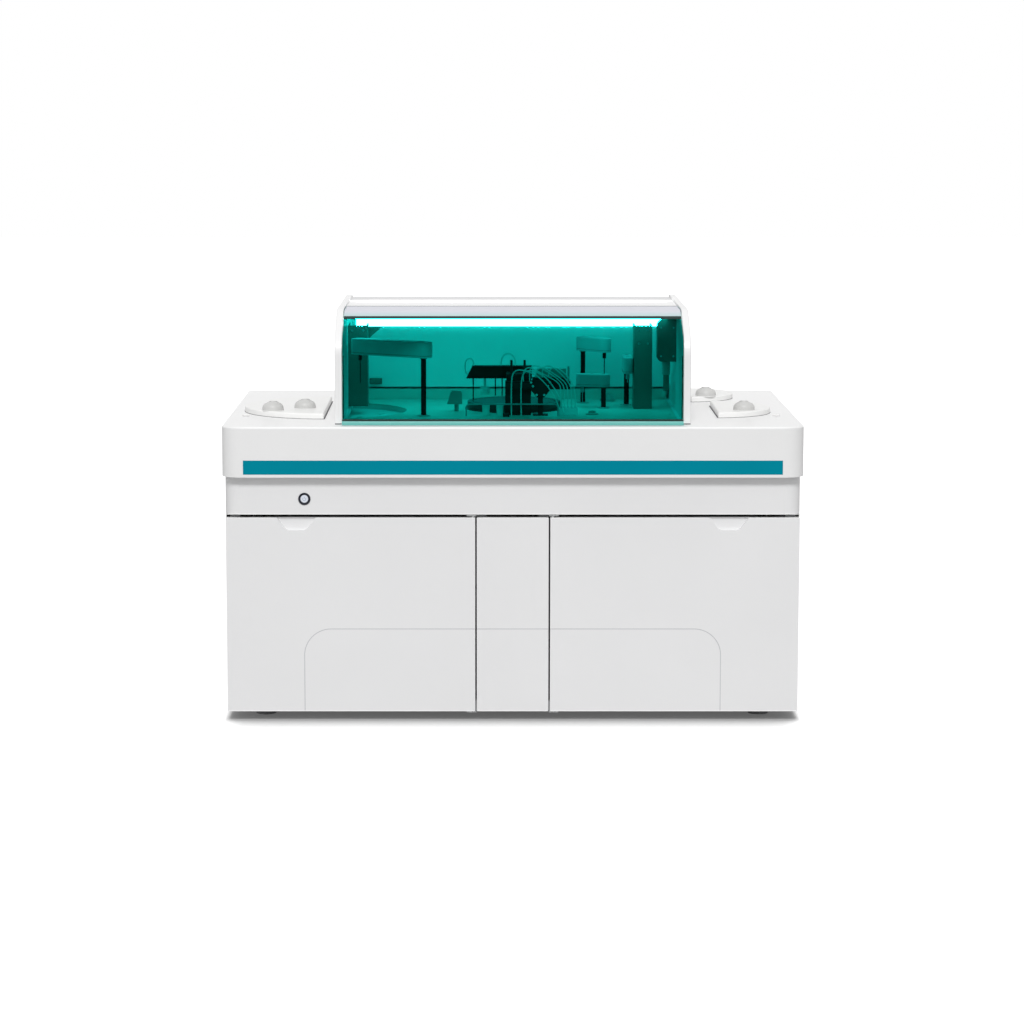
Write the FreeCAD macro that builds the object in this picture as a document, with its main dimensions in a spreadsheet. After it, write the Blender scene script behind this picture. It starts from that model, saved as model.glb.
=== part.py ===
import FreeCAD, Part
import math
import os
import re
import Sketcher

# Floor-standing clinical chemistry analyzer. Millimetres, +Z up, +Y to the back.
# The origin is on the floor, under the middle of the machine.

doc = FreeCAD.newDocument("ChemistryAnalyzer")
sheet = doc.addObject("Spreadsheet::Sheet", "Sizes")
Vector = FreeCAD.Vector

SIZES = {
    # gaps and sheet
    "floor_gap": 30,
    "seat_gap": 0.3,
    "running_gap": 0.05,
    "sheet_wall": 2,
    # deck moulding
    "deck_width": 1800,
    "deck_depth": 1150,
    "deck_height": 157,
    "deck_corner": 60,
    "deck_rear_corner": 20,
    "deck_wall": 5,
    "deck_lip": 65,
    "deck_edge": 6,
    "stripe_half_length": 832,
    "stripe_rise": 9,
    "stripe_height": 44,
    "stripe_thickness": 1.5,
    # fascia band under the deck
    "band_width": 1785,
    "band_setback": 30,
    "band_height": 119,
    "band_corner": 50,
    "band_wall": 3,
    "band_return": 60,
    "button_across": -645,
    "button_drop": 70,
    "button_radius": 12,
    "button_length": 18,
    "button_proud": 2,
    "button_travel": 3,
    "bezel_radius": 19,
    "bezel_barrel": 15,
    "bezel_thickness": 2,
    "bezel_length": 12,
    # cabinet and doors
    "cabinet_inset": 2,
    "rear_setback": 15,
    "door_zone": 621,
    "door_top_gap": 10,
    "door_foot_gap": 0.5,
    "door_side_gap": 5,
    "door_side_inset": 1,
    "door_thickness": 22,
    "door_skin": 2.5,
    "door_edge": 3,
    "centre_width": 223,
    "groove_width": 2,
    "groove_depth": 1,
    "groove_height": 261,
    "groove_half_span": 648,
    "groove_corner": 83,
    "scoop_outer": 731,
    "scoop_width": 120,
    "scoop_slant": 28,
    "scoop_height": 40,
    "scoop_depth": 16,
    "scoop_corner": 24,
    "pivot_inset": 7,
    "pivot_setback": 8,
    "pivot_radius": 4,
    "pivot_reach": 20,
    "pivot_block": 18,
    "bracket_thickness": 4,
    "bracket_width": 30,
    # frame, tray, feet, panels
    "tube_width": 30,
    "frame_corner_inset": 12,
    "ring_width": 70,
    "tray_wall": 4,
    "tray_setback": 2.5,
    "panel_clip_width": 24,
    "panel_clip_height": 40,
    "tray_rim": 30,
    "foot_radius": 32,
    "foot_pad": 12,
    "foot_stem": 8,
    "foot_nut": 14,
    "foot_inset": 110,
    "louvre_length": 120,
    "louvre_height": 6,
    "louvre_pitch": 22,
    "louvre_count": 9,
    "inlet_width": 48,
    "inlet_height": 30,
    "module_plate_thickness": 6,
    # hood
    "hood_width": 1102,
    "cheek_thickness": 21.5,
    "cheek_proud": 7,
    "cheek_edge": 4,
    "hood_front_setback": 80,
    "hood_front_height": 256,
    "hood_slope_run": 160,
    "hood_height": 340,
    "hood_depth": 845,
    "hood_lower_bend": 68,
    "hood_upper_bend": 118,
    "hood_rear_bend": 40,
    "cover_thickness": 4,
    "cover_side_gap": 2,
    "cover_lip_depth": 38,
    "cover_lip_height": 13,
    "hinge_setback": 450,
    "hinge_radius": 6,
    "hinge_pin_radius": 3,
    "hinge_gap": 2,
    "hinge_leaf": 26,
    "knuckle_length": 60,
    "knuckle_count": 4,
    "top_sheet": 3,
    "top_panel_depth": 282,
    "top_flange": 30,
    "lamp_height": 25,
    "lamp_depth": 12,
    "lamp_drop": 70,
    "lamp_half_length": 515,
    "back_wall_setback": 850,
    "back_wall_seam": 6,
    "back_wall_upstand": 35.5,
    # work deck
    "work_half_width": 520,
    "work_front": -485,
    "work_rear": 272,
    "rib_left_x": -240,
    "rib_middle_x": 190,
    "rib_right_x": 430,
    # carousels: centre, lid radius
    "left_x": -591,
    "left_y": -82,
    "left_lid_radius": 270,
    "front_x": 648,
    "front_y": -134,
    "front_lid_radius": 182,
    "rear_x": 595,
    "rear_y": 325,
    "rear_lid_radius": 150,
    "lid_edge_offset": 3,
    "lid_height": 18,
    "lid_wall": 3,
    "lid_edge": 5,
    "lid_overlap": 18,
    "knob_radius": 35,
    "knob_height": 28,
    "knob_fin": 9,
    "knob_scoop": 13,
    "tub_inset": 12,
    "tub_wall": 4,
    "rotor_inset": 8,
    "rotor_plate": 5,
    "rotor_rise": 16,
    "hub_radius": 28,
    "hub_gap": 20,
    "spindle_radius": 12,
    "bottle_count": 14,
    "bottle_inner": 150,
    "bottle_outer": 236,
    "bottle_height": 82,
    "bottle_neck": 9,
    "bottle_cap": 12,
    "tube_count": 18,
    "tube_circle": 138,
    "tube_radius": 6.5,
    "tube_length": 92,
    "rear_divider_count": 10,
    # reaction rotor and bath
    "reaction_x": 8,
    "reaction_y": -16,
    "reaction_radius": 151,
    "reaction_rise": 24,
    "reaction_rim": 35,
    "reaction_rim_depth": 42,
    "bath_gap": 4,
    "bath_wall": 4,
    "bath_rise": 3,
    "cuvette_count": 48,
    "cuvette_side": 8,
    "cuvette_depth": 30,
    # pipetting arms
    "arm_edge": 3,
    "shaft_foot": 860,
    "bushing_radius": 20,
    "bushing_barrel": 15,
    "bushing_flange": 4,
    "bushing_length": 22,
    "sample_x": -281,
    "sample_y": -258,
    "sample_angle": 146.8,
    "sample_reach": 246,
    "sample_width": 56,
    "sample_under": 1113,
    "sample_tall": 50,
    "sample_shaft_radius": 8.5,
    "reagent_x": 237,
    "reagent_y": 150,
    "reagent_angle": -50,
    "reagent_reach": 105,
    "reagent_width": 44,
    "reagent_under": 1102,
    "reagent_tall": 46,
    "reagent_shaft_radius": 8,
    "dispense_x": 299,
    "dispense_y": -13,
    "dispense_angle": 165,
    "dispense_reach": 70,
    "dispense_width": 42,
    "dispense_under": 997,
    "dispense_tall": 41,
    "dispense_shaft_radius": 8,
    "mixer_x": 378,
    "mixer_y": 81,
    "mixer_angle": -90,
    "mixer_reach": 110,
    "mixer_probe_reach": 85,
    "mixer_width": 32,
    "mixer_under": 1041,
    "mixer_tall": 52,
    "mixer_shaft_radius": 8.5,
    "probe_holder_radius": 6,
    "probe_holder_length": 20,
    "probe_radius": 1.5,
    "probe_tip": 1020,
    "dispense_probe_tip": 945,
    # wash station
    "wash_x": 90,
    "wash_y": -243,
    "wash_column": 16,
    "wash_block_left": -22,
    "wash_block_right": 60,
    "wash_block_depth": 30,
    "wash_block_top": 1036,
    "wash_head_left": -146,
    "wash_head_slant": 20,
    "wash_head_height": 40,
    "wash_head_right": 64,
    "wash_head_rear": -112,
    "wash_head_depth": 38,
    "wash_needle_x": -124,
    "wash_needle_tip": 966,
    "wash_nozzle_circle": 134,
    "wash_nozzle_count": 6,
    "wash_nozzle_first": 243,
    "wash_nozzle_step": 10,
    "wash_nozzle_radius": 2,
    "wash_nozzle_tip": 980,
    "wash_rod_radius": 4,
    "wash_rod_height": 66,
    "rail_half_width": 145.5,
    "rail_y": -262,
    "rail_height": 38,
    "rail_radius": 2.5,
    "rail_bend": 12,
    # upright plates, rinse cup, motor housing
    "left_post_right": -466,
    "right_post_left": 396,
    "right_post_right": 455,
    "post_setback": 80,
    "post_drop": 69,
    "post_depth": 95,
    "post_wall": 4,
    "post_foot_gap": 9,
    "gusset_width": 43,
    "gusset_height": 39,
    "gusset_drop": 12,
    "cup_x": -184,
    "cup_y": -105,
    "cup_width": 48,
    "cup_depth": 40,
    "cup_height": 41,
    "cup_rise": 24,
    "cup_wall": 2.5,
    "housing_left": 468,
    "housing_depth": 60,
    "housing_height": 136,
    "housing_under": 1086,
    "housing_corner": 16,
    "housing_top_corner": 26,
    "housing_y": -75,
    "rod_radius": 9.5,
    "rod_length": 96,
    # fluid modules in the cabinet
    "tank_width": 300,
    "tank_depth": 420,
    "tank_height": 330,
    "tank_corner": 30,
    "tank_neck": 40,
    "tank_neck_height": 30,
    "tank_side_gap": 58.2,
    "tank_spacing": 330,
    "tank_front": -430,
    "pump_side_gap": 60,
    "pump_width": 300,
    "pump_height": 280,
    "pump_depth": 260,
    "pump_front": -400,
    "syringe_count": 4,
    "syringe_radius": 11,
    "syringe_length": 120,
    "supply_side_gap": 48.2,
    "supply_width": 270,
    "supply_height": 230,
    "supply_depth": 420,
    "supply_front": -380,
}

# Places and heights that follow from the sizes above.
DERIVED = {
    "cabinet_width": "band_width - 2 * cabinet_inset",
    "deck_front": "-deck_depth / 2",
    "deck_rear": "deck_depth / 2",
    "band_front": "deck_front + band_setback",
    "door_back": "band_front + door_thickness",
    "cabinet_rear": "deck_rear - rear_setback",
    "frame_front": "door_back + seat_gap",
    "tray_front": "frame_front + tray_setback",
    "frame_side": "cabinet_width / 2 - sheet_wall - seat_gap",
    "frame_rear": "cabinet_rear - sheet_wall - seat_gap",
    "band_bottom": "floor_gap + door_zone",
    "deck_bottom": "band_bottom + band_height",
    "deck_top": "deck_bottom + deck_height",
    "deck_under": "deck_top - deck_wall",
    "door_bottom": "floor_gap + door_foot_gap",
    "door_top": "band_bottom - door_top_gap",
    "door_inner": "centre_width / 2 + door_side_gap",
    "door_outer": "cabinet_width / 2 - door_side_inset",
    "pivot_x": "door_inner + pivot_inset",
    "pivot_y": "band_front + pivot_setback",
    "head_rail_bottom": "door_top + 8",
    "plate_top": "deck_bottom + module_plate_thickness",
    "hood_side": "hood_width / 2",
    "cheek_inner": "hood_side - cheek_thickness",
    "hood_front": "deck_front + hood_front_setback",
    "hood_rear": "hood_front + hood_depth",
    "hood_top": "deck_top + hood_height",
    "slope_start": "deck_top + hood_front_height",
    "slope_end": "hood_front + hood_slope_run",
    "hinge_y": "deck_front + hinge_setback",
    "hinge_z": "hood_top - hinge_radius",
    "cover_rear": "hinge_y - hinge_radius - hinge_gap",
    "panel_front": "hinge_y + hinge_radius + hinge_gap",
    "panel_rear": "panel_front + top_panel_depth",
    "back_wall": "deck_front + back_wall_setback",
    "upstand_top": "deck_top + back_wall_upstand",
    "post_front": "hinge_y + post_setback",
    "post_top": "hood_top - post_drop",
    "tank_first": "-frame_side + tube_width + tank_side_gap",
    "supply_left": "frame_side - tube_width - supply_side_gap - supply_width",
    "pump_left": "supply_left - pump_side_gap - pump_width",
    "tub_floor": "plate_top + tub_wall",
    "reaction_top": "deck_top + reaction_rise",
    "wash_head_under": "wash_block_top + seat_gap",
}

ALIASES = set(SIZES)
WORD = re.compile(r"[A-Za-z_][A-Za-z_0-9]*")


def fill_sheet():
    for row, (alias, number) in enumerate(SIZES.items(), start=1):
        sheet.set("A%d" % row, str(number))
        sheet.setAlias("A%d" % row, alias)
    doc.recompute()


def formula(text):
    """Write an expression over the sheet, with derived places worked out."""

    def swap(match):
        word = match.group(0)
        if word in DERIVED:
            return "(" + formula(DERIVED[word]) + ")"
        return "Sizes." + word if word in ALIASES else word

    return WORD.sub(swap, str(text))


def value(text):
    """The present number of an expression over the sheet."""
    return float(sheet.evalExpression(formula(text)))


def bind(obj, target, text):
    obj.setExpression(target, formula(text))


def place(obj, x="0", y="0", z="0", angle=None):
    """Put an object at a place, turned about the vertical by an angle in degrees."""
    if angle is not None:
        bind(obj, "Placement.Rotation.Angle", angle)
    for axis, text in zip("xyz", (x, y, z)):
        bind(obj, "Placement.Base." + axis, text)
    return obj


def box(name, x, y, z):
    """A block between low and high expressions along each axis."""
    block = doc.addObject("Part::Box", name)
    for target, (low, high) in zip(("Length", "Width", "Height"), (x, y, z)):
        bind(block, target, "(%s) - (%s)" % (high, low))
    return place(block, x[0], y[0], z[0])


def cylinder(name, radius, centre, z):
    """An upright round bar between two heights."""
    bar = doc.addObject("Part::Cylinder", name)
    bind(bar, "Radius", radius)
    bind(bar, "Height", "(%s) - (%s)" % (z[1], z[0]))
    return place(bar, centre[0], centre[1], z[0])


def lying_cylinder(name, radius, along, start, length):
    """A round bar that lies along X or Y from a start point."""
    bar = doc.addObject("Part::Cylinder", name)
    bind(bar, "Radius", radius)
    bind(bar, "Height", length)
    turn = FreeCAD.Rotation(Vector(0, 1, 0), 90) if along == "x" else FreeCAD.Rotation(Vector(1, 0, 0), -90)
    bar.Placement = FreeCAD.Placement(Vector(), turn)
    return place(bar, *start)


def fuse(name, pieces):
    union = doc.addObject("Part::MultiFuse", name)
    union.Shapes = pieces
    return union


def group(name, pieces):
    """Separate solids kept as one object."""
    bundle = doc.addObject("Part::Compound", name)
    bundle.Links = pieces
    return bundle


def cut(name, base, tools):
    piece = doc.addObject("Part::Cut", name)
    piece.Base = base
    piece.Tool = tools[0] if len(tools) == 1 else fuse(name + "Tools", tools)
    return piece


def common(name, first, second):
    piece = doc.addObject("Part::MultiCommon", name)
    piece.Shapes = [first, second]
    return piece


def new_body(name):
    return doc.addObject("PartDesign::Body", name)


def new_sketch(body, name, role, offset=None):
    """A sketch on one of the body's own origin planes, moved along its normal."""
    sketch = body.newObject("Sketcher::SketchObject", name)
    plane = [item for item in body.Origin.OriginFeatures if item.Role == role][0]
    sketch.AttachmentSupport = [(plane, "")]
    sketch.MapMode = "FlatFace"
    if offset is not None:
        bind(sketch, "AttachmentOffset.Base.z", offset)
    return sketch


def fix_point(sketch, geometry, position, x, y):
    for kind, text in (("DistanceX", x), ("DistanceY", y)):
        index = sketch.addConstraint(Sketcher.Constraint(kind, -1, 1, geometry, position, value(text)))
        bind(sketch, "Constraints[%d]" % index, text)


def here_to(points, index, step):
    """The way from one point of an outline to its neighbour."""
    return points[(index + step) % len(points)] - points[index]


def outline(sketch, corners):
    """A closed outline. Each corner is (x, y) or (x, y, radius), as expressions."""
    points = [Vector(value(corner[0]), value(corner[1]), 0) for corner in corners]
    count = len(points)
    ends = []
    middles = []
    for index, corner in enumerate(corners):
        here = points[index]
        back = (points[index - 1] - here).normalize()
        ahead = (points[(index + 1) % count] - here).normalize()
        radius = value(corner[2]) if len(corner) > 2 else 0
        if radius > 0:
            half = back.getAngle(ahead) / 2
            reach = radius / math.tan(half)
            inward = (back + ahead).normalize()
            middles.append(here + inward * (radius / math.sin(half) - radius))
            ends.append((here + back * reach, here + ahead * reach))
        else:
            middles.append(None)
            ends.append((here, here))
    lines = [
        sketch.addGeometry(Part.LineSegment(ends[index][1], ends[(index + 1) % count][0]), False)
        for index in range(count)
    ]
    for index, corner in enumerate(corners):
        before, after = lines[index - 1], lines[index]
        if middles[index] is None:
            sketch.addConstraint(Sketcher.Constraint("Coincident", before, 2, after, 1))
            fix_point(sketch, after, 1, corner[0], corner[1])
            continue
        first, last = ends[index]
        turned = (here_to(points, index, -1)).cross(here_to(points, index, 1)).z
        forward = turned < 0
        if not forward:
            first, last = last, first
        arc = sketch.addGeometry(Part.Arc(first, middles[index], last), False)
        sketch.addConstraint(Sketcher.Constraint("Tangent", before, 2, arc, 1 if forward else 2))
        sketch.addConstraint(Sketcher.Constraint("Tangent", after, 1, arc, 2 if forward else 1))
        number = sketch.addConstraint(Sketcher.Constraint("Radius", arc, value(corner[2])))
        bind(sketch, "Constraints[%d]" % number, corner[2])
        tip = sketch.addGeometry(Part.Point(points[index]), True)
        sketch.addConstraint(Sketcher.Constraint("PointOnObject", tip, 1, before))
        sketch.addConstraint(Sketcher.Constraint("PointOnObject", tip, 1, after))
        fix_point(sketch, tip, 1, corner[0], corner[1])
    return sketch


def rectangle(sketch, x, y, radius=None):
    corners = [(x[0], y[0]), (x[1], y[0]), (x[1], y[1]), (x[0], y[1])]
    if radius is not None:
        corners = [corner + (radius,) for corner in corners]
    return outline(sketch, corners)


def circle(sketch, x, y, radius):
    ring = sketch.addGeometry(Part.Circle(Vector(value(x), value(y), 0), Vector(0, 0, 1), value(radius)), False)
    fix_point(sketch, ring, 3, x, y)
    number = sketch.addConstraint(Sketcher.Constraint("Radius", ring, value(radius)))
    bind(sketch, "Constraints[%d]" % number, radius)
    return sketch


def segment_outline(sketch, radius, chord, side):
    """A half-moon: the part of a circle about the origin beyond an upright chord."""
    reach = value(radius)
    offset = value(chord)
    rise = math.sqrt(reach * reach - offset * offset)
    bottom = Vector(offset, -rise, 0)
    top = Vector(offset, rise, 0)
    forward = side > 0
    first, last = (bottom, top) if forward else (top, bottom)
    arc = sketch.addGeometry(Part.Arc(first, Vector(side * reach, 0, 0), last), False)
    line = sketch.addGeometry(Part.LineSegment(bottom, top), False)
    sketch.addConstraint(Sketcher.Constraint("Coincident", arc, 1 if forward else 2, line, 1))
    sketch.addConstraint(Sketcher.Constraint("Coincident", arc, 2 if forward else 1, line, 2))
    sketch.addConstraint(Sketcher.Constraint("Coincident", arc, 3, -1, 1))
    sketch.addConstraint(Sketcher.Constraint("Vertical", line))
    number = sketch.addConstraint(Sketcher.Constraint("Radius", arc, reach))
    bind(sketch, "Constraints[%d]" % number, radius)
    number = sketch.addConstraint(Sketcher.Constraint("DistanceX", -1, 1, line, 1, offset))
    bind(sketch, "Constraints[%d]" % number, chord)
    return sketch


def feature(body, kind, name, sketch, length=None, reverse=False, through=False):
    """A pad or pocket from a sketch."""
    step = body.newObject("PartDesign::" + kind, name)
    step.Profile = sketch
    step.Reversed = reverse
    if through:
        step.Type = "ThroughAll"
        step.Midplane = True
    else:
        bind(step, "Length", length)
    sketch.Visibility = False
    return step


def turn(body, kind, name, sketch):
    """A revolution or groove about the sketch's upright axis."""
    step = body.newObject("PartDesign::" + kind, name)
    step.Profile = sketch
    step.ReferenceAxis = (sketch, ["V_Axis"])
    step.Angle = 360
    return step


def polar(body, name, original, count):
    """Copies of a feature round the body's upright axis."""
    step = body.newObject("PartDesign::PolarPattern", name)
    step.Originals = [original]
    step.Axis = ([item for item in body.Origin.OriginFeatures if item.Role == "Z_Axis"][0], [""])
    step.Angle = 360
    bind(step, "Occurrences", count)
    body.Tip = step
    return step


def round_edges(body, name, radius, keep):
    """Round the edges of the body that a test picks out."""
    doc.recompute()
    base = body.Tip
    names = [
        "Edge%d" % (index + 1) for index, edge in enumerate(base.Shape.Edges) if keep(edge)
    ]
    step = body.newObject("PartDesign::Fillet", name)
    step.Base = (base, names)
    bind(step, "Radius", radius)
    return step


def flat_at(edge, height):
    """True for an edge that lies in a level plane at a height."""
    box_of_edge = edge.BoundBox
    return abs(box_of_edge.ZMin - height) < 1e-4 and abs(box_of_edge.ZMax - height) < 1e-4


NODES = []


def node(obj, label):
    obj.Label = label
    NODES.append(obj)
    return obj


# Cabinet base: feet, tray and welded frame

def make_feet():
    feet = []
    for side in ("-1", "1"):
        for index, y in enumerate(("frame_front + foot_inset", "0", "frame_rear - foot_inset")):
            centre = ("%s * (frame_side - foot_inset)" % side, y)
            tag = "Foot%s%d" % ("L" if side == "-1" else "R", index)
            pad = cylinder(tag + "Pad", "foot_radius", centre, ("0", "foot_pad"))
            stem = cylinder(tag + "Stem", "foot_stem", centre, ("foot_pad", "floor_gap"))
            nut = cylinder(tag + "Nut", "foot_nut", centre, ("floor_gap - 8", "floor_gap"))
            feet.append(fuse(tag, [pad, stem, nut]))
    node(group("LevellingFeet", feet), "levelling_feet")


def make_tray():
    outer = box(
        "TrayOuter", ("-frame_side", "frame_side"), ("tray_front", "frame_rear"),
        ("floor_gap", "floor_gap + tray_rim"),
    )
    inner = box(
        "TrayInner", ("-frame_side + tray_wall", "frame_side - tray_wall"),
        ("tray_front + tray_wall", "frame_rear - tray_wall"),
        ("floor_gap + tray_wall", "floor_gap + tray_rim + 1"),
    )
    node(cut("BaseTray", outer, [inner]), "base_tray")


def make_frame():
    """Square tube_width frame: uprights, a head rail over the doors and a top ring for the deck."""
    low = "floor_gap + tray_wall"
    inside = "frame_side - frame_corner_inset"
    front = "tray_front + tray_wall"
    rear = "frame_rear - tray_wall"
    middle = "centre_width / 2"
    pieces = []
    for index, (x0, x1) in enumerate((
        ("-(%s)" % inside, "-(%s) + tube_width" % inside),
        ("-(%s)" % middle, "-(%s) + tube_width" % middle),
        ("%s - tube_width" % middle, middle),
        ("%s - tube_width" % inside, inside),
    )):
        for tag, y0, y1 in (("F", front, front + " + tube_width"), ("B", rear + " - tube_width", rear)):
            pieces.append(box("Upright%s%d" % (tag, index), (x0, x1), (y0, y1), (low, "deck_bottom")))
        pieces.append(box(
            "Cross%d" % index, (x0, x1), (front, rear), ("deck_bottom - tube_width", "deck_bottom"),
        ))
    for tag, y0, y1 in (
        ("F", "frame_front", "frame_front + ring_width"), ("B", "frame_rear - ring_width", "frame_rear"),
    ):
        pieces.append(box(
            "Ring" + tag, ("-(%s)" % inside, inside), (y0, y1), ("deck_bottom - tube_width", "deck_bottom"),
        ))
    for tag, x0, x1 in (
        ("L", "-frame_side", "-frame_side + ring_width"), ("R", "frame_side - ring_width", "frame_side"),
    ):
        pieces.append(box(
            "Ring" + tag, (x0, x1), ("band_front + band_corner + 2", "frame_rear"),
            ("deck_bottom - tube_width", "deck_bottom"),
        ))
    pieces.append(box(
        "HeadRail", ("-(%s)" % inside, inside), ("frame_front", "frame_front + tube_width"),
        ("head_rail_bottom", "head_rail_bottom + tube_width"),
    ))
    node(fuse("ChassisFrame", pieces), "chassis_frame")


def make_side_panels():
    for label, side in (("left", -1), ("right", 1)):
        body = new_body(label.title() + "SidePanel")
        profile = new_sketch(body, label + "_side_outline", "YZ_Plane")
        band_end = "band_front + band_return + seat_gap"
        outline(profile, [
            ("frame_front", "floor_gap"), ("cabinet_rear", "floor_gap"),
            ("cabinet_rear", "deck_bottom - seat_gap"), (band_end, "deck_bottom - seat_gap"),
            (band_end, "band_bottom - seat_gap"), ("frame_front", "band_bottom - seat_gap"),
        ])
        feature(body, "Pad", label + "_side_sheet", profile, "sheet_wall")
        slots = new_sketch(body, label + "_side_louvre", "YZ_Plane")
        rectangle(slots, ("cabinet_rear - 60 - louvre_length", "cabinet_rear - 60"), ("floor_gap + 70", "floor_gap + 70 + louvre_height"))
        slot = feature(body, "Pocket", label + "_side_slot", slots, through=True)
        row = body.newObject("PartDesign::LinearPattern", label + "_side_slots")
        row.Originals = [slot]
        row.Direction = ([item for item in body.Origin.OriginFeatures if item.Role == "Z_Axis"][0], [""])
        bind(row, "Length", "louvre_pitch * (louvre_count - 1)")
        bind(row, "Occurrences", "louvre_count")
        body.Tip = row
        place(body, "%d * cabinet_width / 2 - %d * sheet_wall" % (side, 1 if side > 0 else 0))
        node(body, label + "_side_panel")


def make_rear_panel():
    """Rear sheet with two louvre fields and the opening for the mains inlet."""
    body = new_body("RearPanel")
    sheet_sketch = new_sketch(body, "rear_outline", "XZ_Plane")
    half = "(cabinet_width / 2 - sheet_wall - seat_gap)"
    rectangle(sheet_sketch, ("-" + half, half), ("floor_gap", "deck_bottom - seat_gap"))
    feature(body, "Pad", "rear_sheet", sheet_sketch, "sheet_wall")
    inlet = new_sketch(body, "rear_inlet", "XZ_Plane")
    rectangle(inlet, ("600", "600 + inlet_width"), ("floor_gap + 90", "floor_gap + 90 + inlet_height"), "4")
    feature(body, "Pocket", "rear_inlet_hole", inlet, through=True)
    slots = new_sketch(body, "rear_louvre", "XZ_Plane")
    rectangle(slots, ("-700", "-700 + 3 * louvre_length"), ("floor_gap + 120", "floor_gap + 120 + louvre_height"))
    rectangle(slots, ("700 - 3 * louvre_length", "700"), ("floor_gap + 320", "floor_gap + 320 + louvre_height"))
    slot = feature(body, "Pocket", "rear_slot", slots, through=True)
    row = body.newObject("PartDesign::LinearPattern", "rear_slots")
    row.Originals = [slot]
    row.Direction = ([item for item in body.Origin.OriginFeatures if item.Role == "Z_Axis"][0], [""])
    bind(row, "Length", "louvre_pitch * (louvre_count - 1)")
    bind(row, "Occurrences", "louvre_count")
    body.Tip = row
    place(body, "0", "cabinet_rear")
    node(body, "rear_panel")


# Front: fixed centre panel, doors, fascia and power button

def groove_corners(side, inner_x):
    """The outline of one half of the pressed arch, from the floor line to an inner edge."""
    low = "-1"
    top = "groove_height"
    half = "groove_width / 2"
    outer = "%s * (groove_half_span + %s)" % (side, half)
    inner = "%s * (groove_half_span - %s)" % (side, half)
    return [
        (outer, low), (outer, "%s + %s" % (top, half), "groove_corner + " + half),
        (inner_x, "%s + %s" % (top, half)), (inner_x, "%s - %s" % (top, half)),
        (inner, "%s - %s" % (top, half), "groove_corner - " + half), (inner, low),
    ]


def make_door(label, side):
    """A folded door skin, open at the back, with a finger scoop and pivot blocks."""
    sign = "%d" % side
    body = new_body(label.title() + "Door")
    x_inner, x_outer = sign + " * door_inner", sign + " * door_outer"
    height = "(door_top - door_bottom)"
    face = new_sketch(body, label + "_door_face", "XZ_Plane")
    rectangle(face, (x_inner, x_outer), ("0", height), "door_edge")
    feature(body, "Pad", label + "_door_block", face, "door_thickness", reverse=True)
    hollow = new_sketch(body, label + "_door_inside", "XZ_Plane", "-door_skin")
    rectangle(
        hollow, ("%s * (door_inner + door_skin)" % sign, "%s * (door_outer - door_skin)" % sign),
        ("door_skin", height + " - door_skin"),
    )
    feature(body, "Pocket", label + "_door_hollow", hollow, "door_thickness")
    blocks = new_sketch(body, label + "_door_block_outline", "XZ_Plane", "-door_thickness")
    for low, high in (("0", "pivot_reach + 6"), (height + " - pivot_reach - 6", height)):
        rectangle(blocks, (x_inner, "%s * (door_inner + pivot_block)" % sign), (low, high))
    feature(body, "Pad", label + "_door_pivot_blocks", blocks, "door_thickness - door_skin / 2")
    pocket_block = new_sketch(body, label + "_door_scoop_back", "XZ_Plane", "-door_thickness")
    rectangle(
        pocket_block, ("%s * (scoop_outer - scoop_width - 4)" % sign, "%s * (scoop_outer + 4)" % sign),
        (height + " - scoop_height - 4", height),
    )
    feature(body, "Pad", label + "_door_scoop_block", pocket_block, "door_thickness - door_skin / 2")
    scoop = new_sketch(body, label + "_door_scoop_outline", "XZ_Plane")
    low, high = height + " - scoop_height", height + " + 1"
    outline(scoop, [
        ("%s * (scoop_outer - scoop_width + scoop_slant)" % sign, low, "scoop_corner"),
        ("%s * (scoop_outer - scoop_slant)" % sign, low, "scoop_corner"),
        ("%s * scoop_outer" % sign, high), ("%s * (scoop_outer - scoop_width)" % sign, high),
    ])
    feature(body, "Pocket", label + "_door_scoop", scoop, "scoop_depth", reverse=False)
    groove = new_sketch(body, label + "_door_groove_outline", "XZ_Plane")
    outline(groove, groove_corners(sign, "%s * (door_inner - 1)" % sign))
    feature(body, "Pocket", label + "_door_groove", groove, "groove_depth", reverse=False)
    bores = new_sketch(body, label + "_door_bore_outline", "XY_Plane")
    circle(bores, sign + " * pivot_x", "pivot_setback", "pivot_radius + running_gap")
    feature(body, "Pocket", label + "_door_low_bore", bores, "pivot_reach", reverse=True)
    top_bores = new_sketch(body, label + "_door_top_bore_outline", "XY_Plane", height)
    circle(top_bores, sign + " * pivot_x", "pivot_setback", "pivot_radius + running_gap")
    feature(body, "Pocket", label + "_door_top_bore", top_bores, "pivot_reach")
    place(body, "0", "band_front", "door_bottom")
    node(body, label + "_door")


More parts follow.
